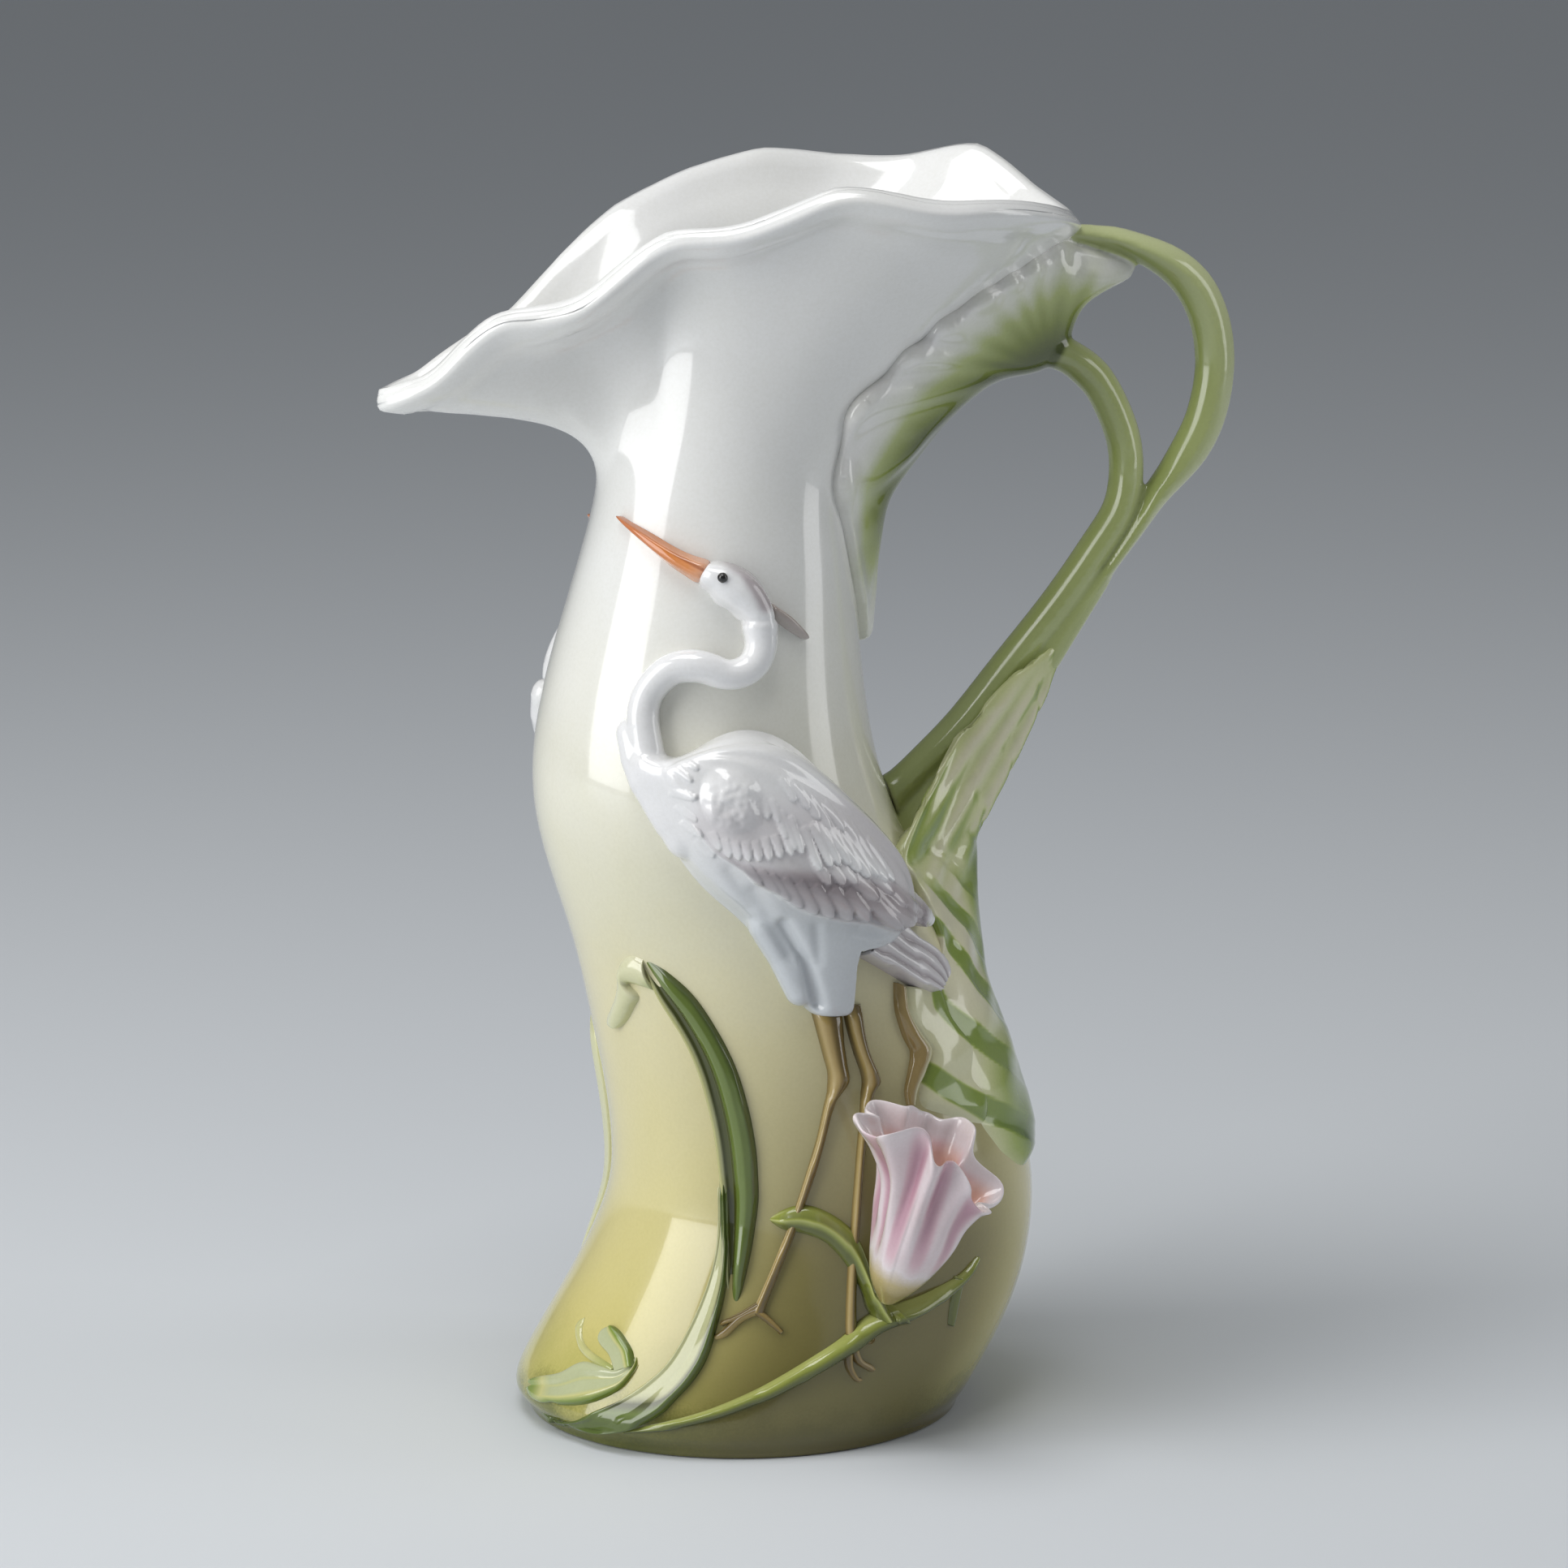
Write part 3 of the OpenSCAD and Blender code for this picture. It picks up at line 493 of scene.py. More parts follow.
def glazed(name, tints, trim_and_painted_light=None, pooling=0.3, spray=0.12, tall=False):
    """Glazed paint. Its tint runs through the colours (place, code) by the piece's own tint value,
    or by height where tall is set, and a second colour lies over it by the piece's second value:
    a painted edge or line on some pieces, a painted highlight or painted shade on others."""
    finish = bpy.data.materials.new(name)
    finish.use_nodes = True
    tree = finish.node_tree
    shader = tree.nodes["Principled BSDF"]
    place = tree.nodes.new("ShaderNodeTexCoord").outputs["Object"]

    def mask_of(label):
        return add_node(tree, "ShaderNodeAttribute", {}, attribute_name=label).outputs["Fac"]

    def sprayed(mask):
        inputs = {"Mask": mask, "Place": place, "Amount": spray}
        return add_node(tree, "ShaderNodeGroup", inputs, node_tree=SPRAY).outputs["Mask"]

    if tall:
        split = add_node(tree, "ShaderNodeSeparateXYZ", {0: place})
        value = spread(tree, split.outputs["Z"], 0, 0.34, 0, 1)
    else:
        value = mask_of("tint")
    ramp = add_node(tree, "ShaderNodeValToRGB", {"Fac": sprayed(value)})
    stops = ramp.color_ramp.elements
    while len(stops) < len(tints):
        stops.new(0.5)
    for stop, (at, code) in zip(stops, tints):
        stop.position = at
        stop.color = colour(code)
    painted = ramp.outputs["Color"]
    if trim_and_painted_light:
        painted = blend_colours(tree, sprayed(mask_of("trim_and_painted_light")), painted, colour(trim_and_painted_light))
    inputs = {"Paint": painted, "Place": place, "Pooling": pooling}
    glaze = add_node(tree, "ShaderNodeGroup", inputs, node_tree=GLAZE)
    inputs = {"Strength": 0.2, "Distance": 0.0006, "Height": glaze.outputs["Height"]}
    bump = add_node(tree, "ShaderNodeBump", inputs)
    feed(tree, shader, {
        "Base Color": glaze.outputs["Color"], "Roughness": glaze.outputs["Roughness"],
        "Normal": bump.outputs["Normal"], "IOR": 1.5, "Coat Weight": 0.6, "Coat Roughness": 0.03})
    return finish


# body: white at the top to olive at the foot by height; its second colour, brown-olive, is brown spray on the
# near side of the belly together with painted shade there and at the foot
BODY = glazed("porcelain_body", [
    (0, "5a602c"), (0.02, "767936"), (0.045, "bdb668"), (0.09, "d2c77f"), (0.2, "dbd197"), (0.33, "dfd7ab"),
    (0.45, "e2dfc6"), (0.58, "e9e8de"), (0.7, "eeeeeb"), (1, "f0f0ef")],
    trim_and_painted_light="5a5220", pooling=0.12, spray=0.06, tall=True)
STEM = glazed("stem_green", [(0, "c3c781"), (0.3, "959d4b"), (0.6, "6e7632"), (1, "3f461a")], spray=0.05)
# its second colour, a light yellow-green, is a painted highlight on the stems
CALYX = glazed("calyx_white_to_green", [
    (0, "efeeec"), (0.3, "dfe1d3"), (0.55, "afba79"), (0.8, "849148"), (1, "4c572a")],
    trim_and_painted_light="c5cc98", pooling=0.2)
LEAF = glazed("veined_leaf", [
    (0, "e3dfc0"), (0.3, "d2d6a0"), (0.6, "9fb056"), (0.85, "7c923c"), (1, "5c7438")],
    trim_and_painted_light="9c8450", pooling=0.25)
# its second colour, a bluish grey, is painted shade under the wing
PLUMAGE = glazed("plumage_white_to_taupe", [
    (0, "eeeeef"), (0.4, "d6d2d4"), (0.7, "b4abae"), (1, "8f868a")], trim_and_painted_light="c0c7cd", pooling=0.15)
BILL = glazed("bill_orange", [
    (0, "e2ab8c"), (0.2, "de935c"), (0.6, "d5803f"), (1, "c97a4a")], trim_and_painted_light="8c3f1e")
CREST = glazed("crest_taupe", [(0, "c9c1bd"), (0.6, "a2958f"), (1, "8a7d77")])
EYE = glazed("eye_black", [(0, "141313"), (1, "262321")], pooling=0.5)
# its second colour, cream, is a painted highlight line on the legs
LEG = glazed("leg_brown", [(0, "bda363"), (0.5, "99824a"), (1, "685730")], trim_and_painted_light="baa673")
PETAL = glazed("petal_pink", [
    (0, "a4965a"), (0.14, "c4b380"), (0.34, "ebe1e4"), (0.6, "dbbac4"), (1, "b9859a")],
    trim_and_painted_light="edbfae", pooling=0.2)
# the blade's green with painted light: pale highlight on its left ridge, dark painted shade in its groove,
# over its right half and at its lower end
BLADE = glazed("blade_green", [
    (0, "b3b065"), (0.16, "bfc092"), (0.33, "474c1c"), (0.4, "474c1c"), (0.62, "687a36"), (0.8, "55652a"),
    (1, "3f4d1b")], trim_and_painted_light="8c9a4c", spray=0.05)
CREAM = glazed("leaf_cream", [(0, "e4e2c4"), (0.4, "d6d6aa"), (1, "98a85c")])
SPROUT = glazed("sprout_green", [
    (0, "c6caa6"), (0.2, "bcc296"), (0.45, "cdca8a"), (0.75, "84993f"), (1, "53672a")], spray=0.05)


# --- body

# tip of the spout and back of the rim as (x, z), half width of the mouth, and where the rim begins
SPOUT_TIP = (-115, 279)
RIM_BACK = (72, 322)
MOUTH_HALF = 50
RIM_FOOT = 270
RIM_BEAD = 1.5        # how far the rim's round edge stands out, in mm
# how far the top of the rim and the tip of the spout are drawn back into the solid's box, in mm
TOP_DROP = 2.0
TIP_DRAW = 1.6
# rim of the mouth: share of the way from spout to handle, share of the half width, rise on the
# bird's side and on the far side, in mm
RIM = [
    (0, 0, 0, 0), (0.032, 0.14, 1.6, 0.6), (0.08, 0.22, 4.6, 2.6), (0.144, 0.32, 13.8, 5.8),
    (0.214, 0.42, 17.8, 8.8), (0.294, 0.56, 21.4, 18.4), (0.385, 0.72, 29.4, 27.4), (0.487, 0.86, 30, 32),
    (0.6, 0.96, 33.2, 32.2), (0.711, 1, 27, 25), (0.818, 0.92, 19.3, 19.8), (0.909, 0.7, 11.4, 19.9),
    (0.968, 0.38, 4.4, 7.4), (1, 0, 0, 0)]
# height of the ruffles on the near edge of the mouth, by place from left to right in the front view
RUFFLE = [
    (-87, 0), (-76, -0.2), (-69, -2.8), (-62, -4.8), (-55, -5.2), (-48, -3.2), (-41, -1.8), (-34, -0.6),
    (-27, -1.2), (-19, -2.8), (-12, -2.9), (-5, -2.4), (5, -2.1), (12, -0.9), (19, -0.9), (29, -1.7),
    (38, -2.9), (46, -2.9), (54, -1.4), (63, -0.3), (71, 0)]


def rim_line():
    """Lookup for the nearest point of the rim."""
    (x, z), run, rise = SPOUT_TIP, RIM_BACK[0] - SPOUT_TIP[0], RIM_BACK[1] - SPOUT_TIP[1]
    points = []
    for side, column in ((-1, 2), (1, 3)):
        for a, b in zip(RIM, RIM[1:]):
            for step in range(12):
                r = [p + (q - p) * step / 12 for p, q in zip(a, b)]
                points.append((x + run * r[0], PLANE + side * MOUTH_HALF * r[1], z + rise * r[0] + r[column]))
    tree = KDTree(len(points))
    for i, p in enumerate(points):
        tree.insert(p, i)
    tree.balance()
    return tree


def make_body():
    """Body with a round, ruffled rim; the ruffles and the rim stay inside the solid's box."""
    piece = cast("vessel_body", 2)
    rim = rim_line()
    raise_where(piece, RIM_BEAD, lambda p, n: ease(6.5, 3.5, rim.find(p)[2]) if p.z > RIM_FOOT else 0)
    for v in piece.data.vertices:
        p = v.co / MM
        if p.z > RIM_FOOT and p.y < PLANE + 4:
            off = v.co - MIDDLE
            u = off.dot(RIGHT) / MM * CAMERA_GAP / (CAMERA_GAP - off.dot(BACK))
            wave = sum(along(RUFFLE, u + shift) for shift in (-3, 0, 3)) / 3
            v.co.z += wave * MM * ease(19, 3, rim.find(p)[2]) * ease(PLANE + 4, PLANE - 8, p.y)
    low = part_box("vessel_body")[0]
    for v in piece.data.vertices:
        v.co.z = max(v.co.z, low.z)
        v.co.z -= TOP_DROP * MM * ease(0.318, 0.341, v.co.z)
        v.co.x += TIP_DRAW * MM * ease(-0.096, -0.116, v.co.x)

    # second colour on the body: brown-olive over the near side of the belly below 140 mm, partly brown spray
    # and partly painted shade, and over the near side of the foot below 15 mm as painted shadow
    def shade(p, n):
        around = bearing(p)
        belly = ease(140, 45, p.z) * (ease(-150, -95, around) * ease(-20, -60, around))
        foot = ease(15, 2, p.z) * ease(-120, -80, around) * ease(30, 0, around)
        return max(0.85 * belly, 0.95 * foot)

    paint(piece, "trim_and_painted_light", shade)
    settle(piece, BODY, "vessel_body")


# --- handle

# middle of the loop of the stems
LOOP = Vector((78, PLANE, 262))
# midrib of the upper leaf in the handle plane, tail to trunk
KEEL = [(15, 210), (18, 232), (23, 252), (33, 266), (45, 275), (58, 283), (70, 288)]
# where the ribs of the upper leaf meet, degrees from one to the next, and their height in mm
FAN = (66, 284)
RIB_TURN = 17
RIB_HEIGHT = 2.0
# clay between the stems and down to the lower leaf, in the handle plane: x, z, radius
WEB = [
    (87, 236, 2.4), (80, 225.5, 4), (72, 214, 4.6), (66, 205, 4.9), (57, 194, 5.4), (48, 182.5, 6.2),
    (39, 171, 7.2), (31, 160, 8), (27, 151, 7.6)]
# clay between the outer stem and the upper leaf's top edge
GUSSET = [(75, 319.5, 2.4), (80, 318.5, 2.6), (86, 316.5, 2.6), (91, 313.5, 2)]


def make_handle():
    """Upper leaf and both stems: the leaf narrows to the trunk, and the stems flow from it."""
    def join_up(part, node):
        if node == "handle_inner_stem":
            pull(part, (71, PLANE, 288), 14, (-5, 0, 2))
            pull(part, (50, PLANE, 170), 10, (-3, 0, -3))
        elif node == "handle_outer_stem":
            pull(part, (73, PLANE, 321), 12, (-4, 0, 0))
            for v in part.data.vertices:
                v.co += Vector((-0.83, 0, 0.56)) * 1.6 * MM * ease(258, 242, v.co.z / MM)
        else:
            lute(part)

    fill = [ball(Vector((x, PLANE, z)) * MM, radius)
            for rows in (WEB, GUSSET) for x, z, radius in between(rows, 2)]
    nodes = "handle_upper_leaf", "handle_inner_stem", "handle_outer_stem"
    piece = fuse(nodes, "glazed_handle", 0.75, 0.1, 9, join_up, fill)
    for v in piece.data.vertices:
        v.co.x -= 0.2 * MM * ease(0.11, 0.118, v.co.x)
    leaf, *stems = (surface_of(node) for node in nodes)

    def leafy(p):
        """1 on the leaf, 0 on the stems."""
        on_leaf = leaf.find_nearest(p * MM)[3] / MM
        on_stem = min(stem.find_nearest(p * MM)[3] for stem in stems) / MM
        return ease(-1.5, 1.5, on_stem - on_leaf)

    def fan(p):
        """Distance and turn from where the ribs meet."""
        dx, dz = p.x - FAN[0], p.z - FAN[1]
        return math.hypot(dx, dz), math.degrees(math.atan2(dz, dx)) % 360

    def rib_wave(turn):
        """1 on the ribs of the leaf, 0 between them."""
        return 0.5 + 0.5 * math.cos(math.radians(turn * 360 / RIB_TURN + 40 * math.sin(turn / 9)))

    def ribs(p, n):
        reach, turn = fan(p)
        place = ease(3, 9, abs(p.y - PLANE)) * ease(238, 256, p.z) * ease(84, 68, p.x)
        return rib_wave(turn) * ease(18, 42, reach) * place * leafy(p)

    def off_loop(p):
        return Vector((p.x - LOOP.x, 0, p.z - LOOP.z)).normalized()

    def green(p, n):
        gap, run = off_line(p, KEEL)
        reach, turn = fan(p)
        streak = (0.1 * rib_wave(turn) - 0.05) * ease(8, 20, reach)
        on_leaf = (1.0 - ease(0, 13 + 24 * run, gap) + streak) * (0.15 + 0.85 * ease(212, 255, p.z))
        near = ease(45, 0, math.hypot(p.x - 74, p.z - 290))
        # painted light: the stems lighter where they face out of the loop and darker where they face into it
        on_stem = 0.62 - 0.2 * n.dot(off_loop(p)) + 0.2 * near
        f = leafy(p)
        return on_leaf * f + on_stem * (1 - f)

    # painted highlight on the stems: a little light yellow-green all over them, more where they face out of
    # the loop and on their broad sides near the top
    def light(p, n):
        rim = 0.7 * ease(0.35, 0.9, n.dot(off_loop(p)))
        flank = 0.35 * ease(0.55, 0.95, abs(n.y)) * ease(240, 320, p.z)
        return (0.18 + rim + flank) * (1 - leafy(p))

    raise_where(piece, RIB_HEIGHT, ribs)
    paint(piece, "tint", green)
    paint(piece, "trim_and_painted_light", light)
    settle(piece, CALYX, *nodes)


# part of the lower leaf that spreads forwards under the bird's tail
LEAF_PANEL = [
    (30.5, -54.4, 43.4, -55.8), (31.6, -62.4, 46.1, -63.2), (34.9, -68.3, 50.4, -69.4),
    (37.5, -72.7, 54.4, -74.6), (36, -78.5, 56.1, -81.5), (34.2, -83.7, 56.4, -88.5),
    (33.3, -88.1, 56, -95.5)]
# curled edge of the lower leaf
CURLED_EDGE = [
    (29.3, -53.6, 32.8, -55.8), (29.7, -61, 33.6, -61.7), (31.6, -67.9, 36.9, -67.2),
    (33.8, -72.8, 39.9, -71.8), (33.1, -77.9, 38.4, -77.5), (32.2, -82.9, 36.3, -82.8),
    (32.8, -86.9, 35.5, -86.9)]
VEIN_GAP = 17         # distance from one vein of the lower leaf to the next, in mm
END_RIB_TURN = 4.4    # degrees from one rib of its upper end to the next
# spread of the lower leaf round the back by height: on the bird's side, on the far side
LOW_SPREAD = [(58, 4), (67, 34), (75, 51), (84, 60), (94, 61)]
NEAR_SPREAD = LOW_SPREAD + [(110, 58), (118, 51), (126, 40), (134, 34), (158, 34)]
FAR_SPREAD = LOW_SPREAD + [(110, 60), (126, 50), (142, 44), (158, 34)]


def make_lower_leaf():
    """Veined leaf round the back of the body, with its panel and curled edge on the bird's side."""
    piece = cast("handle_lower_leaf", 3)

    def off_rib(p):
        """0 at the leaf's midrib, 1 at its edge, more beyond it."""
        if p.z > 160:
            return min(abs(p.y - PLANE) / 7, 1) * 0.5
        around = bearing(p)
        return abs(around) / along(NEAR_SPREAD if around < 0 else FAR_SPREAD, p.z)

    def inwards(p):
        return 1 - min(off_rib(p), 1)

    def wave(p):
        at = p.z - along([(60, 10), (80, 24), (110, 34), (150, 36)], p.z) * off_rib(p)
        return 0.5 + 0.5 * math.cos(2 * math.pi * (at - 1) / VEIN_GAP)

    def vein(p):
        """1 on a green vein; the veins taper towards the edge."""
        width = 0.22 + 0.42 * off_rib(p)
        return ease(width, width + 0.22, wave(p)) * ease(158, 140, p.z)

    def fan(p):
        """Ribs of the leaf's upper end, that spread from the stem."""
        turn = math.degrees(math.atan2(250 - p.z, 95 - p.x))
        rib = 0.5 + 0.5 * math.cos(2 * math.pi * turn / END_RIB_TURN)
        return rib * ease(136, 152, p.z) * ease(206, 190, p.z)

    def green(p, n):
        f = inwards(p)
        keel = ease(0.55, 0.92, f) * ease(160, 148, p.z) + ease(0.35, 0.85, n.x) * ease(148, 160, p.z)
        low_keel = 0.75 * ease(0.1, 0.6, f) * ease(118, 92, p.z)
        flutes = 0.34 * (1 - fan(p)) * ease(140, 155, p.z)
        return max(0.8 * vein(p), keel * 0.9, low_keel, flutes) + 0.3 * ease(92, 66, p.z)

    def brown(p, n):
        height = ease(88, 98, p.z) * ease(136, 120, p.z)
        return 0.85 * ease(0.13, 0.02, inwards(p)) * height * ease(0, 2, p.y - PLANE)

    def groove(p, n):
        f = inwards(p)
        return ease(0.55, 0.95, wave(p)) * ease(0.03, 0.2, f) * ease(1, 0.8, f)

    def upper_end(p, n):
        return (0.55 * ease(150, 165, p.z) + 0.45 * fan(p)) * ease(0.3, 0.7, abs(n.y))

    for v in piece.data.vertices:
        p = v.co / MM
        f = inwards(p)
        near_edge = ease(0.4, 0.1, f) * ease(138, 130, p.z) * ease(0, -4, p.y - PLANE)
        low_edge = max(ease(0.5, 0.1, f) * ease(98, 86, p.z), ease(74, 66, p.z))
        if max(near_edge, low_edge) > 0:
            spot, out = WALL.find_nearest(v.co)[:2]
            v.co = v.co.lerp(spot + out * (0.4 - 1.3 * low_edge) * MM, max(near_edge, low_edge))
    work(piece, "SMOOTH", factor=0.5, iterations=16)
    raise_where(piece, -0.4, groove)
    raise_where(piece, 1.9, upper_end)
    lute(piece)
    paint(piece, "tint", green)
    paint(piece, "trim_and_painted_light", brown)
    settle(piece, LEAF, "handle_lower_leaf")

    def panel_height(w, k):
        ripple = 0.5 * math.sin(5 * w + 2 * k)
        return (2.6 * ease(0, 0.2, w) + ripple) * ease(1, 0.85, w) * ease(6, 5, k) - SINK

    panel = strip("leaf_panel", LEAF_PANEL, panel_height)
    work(panel, "SMOOTH", factor=0.5, iterations=10)
    paint(panel, "tint", lambda p, n: max(0.8 * vein(p), 0.1) + 0.3 * ease(92, 66, p.z))
    paint_along(panel, "trim_and_painted_light", lambda w, k, n: 0)
    settle(join(panel.name, panel), LEAF)
    edge = round_strip("leaf_curled_edge", CURLED_EDGE, [(0, 2.4), (3, 3), (6, 1.6)])
    paint_along(edge, "tint", lambda w, k, n: 0.1)
    paint_along(edge, "trim_and_painted_light", lambda w, k, n: 0.95 - 0.75 * math.exp(-((w - 0.72) / 0.12) ** 2))
    settle(join(edge.name, edge), LEAF)


# --- birds

# edges of the strips as seen from the front: right of and above the middle, in mm, on either edge
# each leg, then its toes
FRONT_LEG = [
    [(6.4, -59.5, 15.7, -59.5), (8.6, -67.5, 16.4, -67.9), (10.4, -74.1, 17.4, -75.6),
     (11.5, -78.5, 18, -80.4), (11.3, -83.7, 15.7, -83.7), (10.5, -87.3, 13.9, -86.6),
     (8.4, -96.8, 11.3, -96.8), (5.7, -105.6, 8.8, -105.6), (3.1, -113.7, 6, -113.8),
     (0, -122.1, 3.1, -122.3), (-3.7, -131.3, -0.7, -131.6), (-7.2, -139.3, -4.2, -140.2),
     (-8.9, -142.3, -5.4, -144.3)],
    [(-5.8, -143.7, -7.1, -140.8), (-10.8, -145.8, -12.4, -143.4), (-15.1, -149.7, -16.8, -147.5),
     (-18.1, -150.7, -19, -149.2)],
    [(-6.1, -142.3, -7.4, -140), (-11.1, -144.9, -12.1, -142.9), (-15.3, -146.4, -16, -144.8),
     (-16.9, -146.8, -17.3, -145.8)],
    [(-6.7, -141.6, -8.4, -143.7), (-3.5, -144.3, -5, -146.1), (-0.1, -148, -1.1, -149.1)]]
REAR_LEG = [
    [(15.2, -59.5, 21.1, -59.5), (16.6, -66.1, 21.8, -66.8), (18.5, -72.7, 23.2, -72.7),
     (20.3, -77.8, 25.4, -77.7), (20.8, -80.9, 26.2, -80.7), (20.5, -84.4, 24.3, -83.8),
     (20.1, -91, 23, -91), (19.2, -102, 21.8, -102), (18.1, -116.6, 20.8, -117.4),
     (17.4, -124.7, 20.3, -124.7), (16.8, -135.7, 19.8, -135.7), (16.4, -145.9, 19.8, -145.9),
     (16.6, -149.6, 20.3, -150.3)],
    [(19.7, -147.8, 16.6, -148.4), (20.9, -154.8, 18.3, -156.1), (23.9, -157.1, 22.6, -159.1),
     (24.6, -157.9, 24.1, -159.2)],
    [(19.2, -148.9, 16.3, -148.8), (18.7, -156.7, 16.1, -157.1), (20.1, -160.2, 18.5, -161.5),
     (21, -160.8, 20.6, -161.9)],
    [(20, -147.9, 18.7, -149.8), (22.7, -150, 22.3, -151.8), (23.2, -149.5, 24, -150.4)]]
# height of the legs and of the toes by row
LEG_RISE = [(0, 1.5), (0.5, 4), (3, 4.2), (4.5, 3.2), (6, 2.6), (12, 2.2)]
TOE_RISE = [(0, 2.2), (2, 1.7), (3, 1)]
# tail
TAIL_EDGES = [
    (19.4, -46.8, 28.4, -36.8), (24.8, -49.7, 32.7, -41.2), (29.6, -52.6, 35.9, -43.1),
    (33.8, -55.1, 38.2, -44.8), (37.2, -56.6, 40.1, -47.4), (39.1, -56.8, 41.4, -50.8),
    (40.3, -55.6, 41.2, -53.6)]

# feathers as (x and height of the tip, length, width, turn, rise), in mm and degrees
FEATHERS = [
    # fringe under the shoulder
    (-35.9, 168, 5.7, 2.3, -67, 0.8), (-33.5, 166.1, 5.7, 2.3, -73, 0.8),
    (-31.3, 165.6, 5.7, 2.3, -77, 0.8), (-28.9, 165.5, 5.7, 2.3, -79, 0.8),
    (-26.3, 165.6, 5.7, 2.3, -79, 0.8), (-23.5, 166, 6.1, 2.3, -77, 0.8),
    (-20.6, 166.3, 6.4, 2.3, -75, 0.8), (-17.6, 166.9, 7.9, 2.3, -73, 0.9),
    (-14.7, 167.3, 10.1, 2.5, -71, 1),
    # scapulars
    (-23.6, 176.7, 5.7, 2.1, -75, 0.7), (-20.9, 175.7, 6.4, 2.1, -71, 0.7),
    (-16.6, 168.3, 10.8, 2.3, -69, 0.9), (-19.1, 171.5, 9.3, 2.2, -71, 0.8),
    # mantle
    (-10, 162.4, 12.3, 2.9, -69, 1.1), (-6.8, 163.1, 12.4, 2.8, -67, 1.1),
    (-4.4, 163.2, 12.5, 2.6, -65, 1.1), (-1.6, 162.9, 12.7, 2.8, -62, 1.1),
    (1.2, 160.7, 13.5, 2.9, -60, 1.2), (4.1, 158.7, 14.3, 2.9, -60, 1.2), (6.7, 158.6, 14.6, 2.6, -58, 1.1),
    (9.4, 157, 14.7, 2.6, -57, 1.1), (11.9, 156.4, 13.9, 2.3, -58, 0.9),
    # back
    (-15.8, 180.4, 7.3, 2.2, -59, 0.5), (-12.2, 178.3, 8.2, 2.2, -58, 0.5), (-9.5, 175.4, 9, 2.3, -59, 0.5),
    (-6.4, 172.9, 9, 2.3, -58, 0.5), (-2.4, 171.5, 9.2, 2.2, -57, 0.45), (1.6, 168.1, 9.2, 2.2, -58, 0.45),
    (4.8, 164.8, 9.3, 2.2, -58, 0.45),
    # second coverts
    (-7.3, 158.4, 6.7, 2.9, -57, 0.9), (-3.2, 157.8, 6.8, 2.9, -55, 0.9), (0.2, 157.8, 7, 2.9, -51, 0.9),
    (6.1, 152.9, 9.6, 3.7, -44, 1.2), (15, 149.6, 9.9, 3.4, -45, 1.1), (10.8, 153.6, 9.7, 3.1, -47, 1),
    # flight
    (-25.1, 158.3, 7.9, 2.5, -53, 0.8), (-20.8, 156.1, 8.7, 2.9, -51, 0.9),
    (-17.9, 154.1, 9.5, 3.1, -53, 1), (-14.6, 152, 10.3, 3.5, -57, 1.1),
    (-10.6, 149.9, 11.1, 3.8, -59, 1.2), (-6.3, 148.7, 11.1, 4.1, -59, 1.3),
    (-1.2, 147.5, 11.2, 4.2, -59, 1.3), (3.7, 146.9, 11.3, 4.1, -57, 1.3),
    (13.2, 143.2, 16.7, 4.2, -47, 1.5), (17.3, 143, 17.2, 3.8, -45, 1.5),
    (22.2, 139.8, 19.2, 3.8, -45, 1.6), (22.1, 144, 17, 2.9, -45, 1.2),
    # under tail
    (19.4, 139.4, 18.9, 3.2, -21, 0.8), (16.3, 138.6, 16.8, 2.9, -19, 0.6),
    # breast
    (-43.1, 186.6, 6.3, 1.9, -39, 0.7), (-41.2, 189.8, 6.3, 1.9, -30, 0.6),
    (-41.8, 182.5, 6.4, 2.5, -3, 0.8), (-40, 171.4, 6.4, 2.6, -37, 0.7), (-41.5, 175.8, 6.1, 2.2, -35, 0.5),
    (-37, 165.8, 6.3, 2.3, -45, 0.5)]

PLUMES = [(x, z, length, width / 2, math.cos(math.radians(turn)), math.sin(math.radians(turn)), rise)
          for x, z, length, width, turn, rise in FEATHERS]
SHOULDER = (-33.6, 180.7)
# line from the neck along the breast and belly, where the clay is smoothed most
BREAST_LINE = [(-55, 197), (-46, 184), (-34, 170), (-14, 150), (8, 150)]
FAR_LIMIT = 0.0762    # depth beyond which the far wing is pressed flat, in m
# lower edge of the folded wing, and the line below which its feathers are taupe
WING_EDGE = [
    (-44, 176), (-41, 172), (-37, 167.3), (-30, 162.6), (-25.8, 158.4), (-20.8, 156), (-15, 151.8),
    (-9, 149.3), (-1.4, 147.3), (5, 146), (13.2, 142.6), (20.9, 138.8), (24, 137)]
TAUPE_LINE = [(-44, 168), (-36, 166), (-30, 163.5), (-10, 161), (3, 157.5), (12, 155), (22, 147)]
# creases between and before the thighs: line, depth, half width
CREASES = [
    ([(-18.5, 147), (-12.3, 136.3), (-8.6, 124)], 1.8, 1.7),
    ([(-26.5, 156.3), (-22.3, 149), (-17, 139)], 0.8, 2.2), ([(-33, 162), (-27, 152)], 0.5, 2),
    ([(-10, 146), (-9, 136)], 0.5, 1.5)]
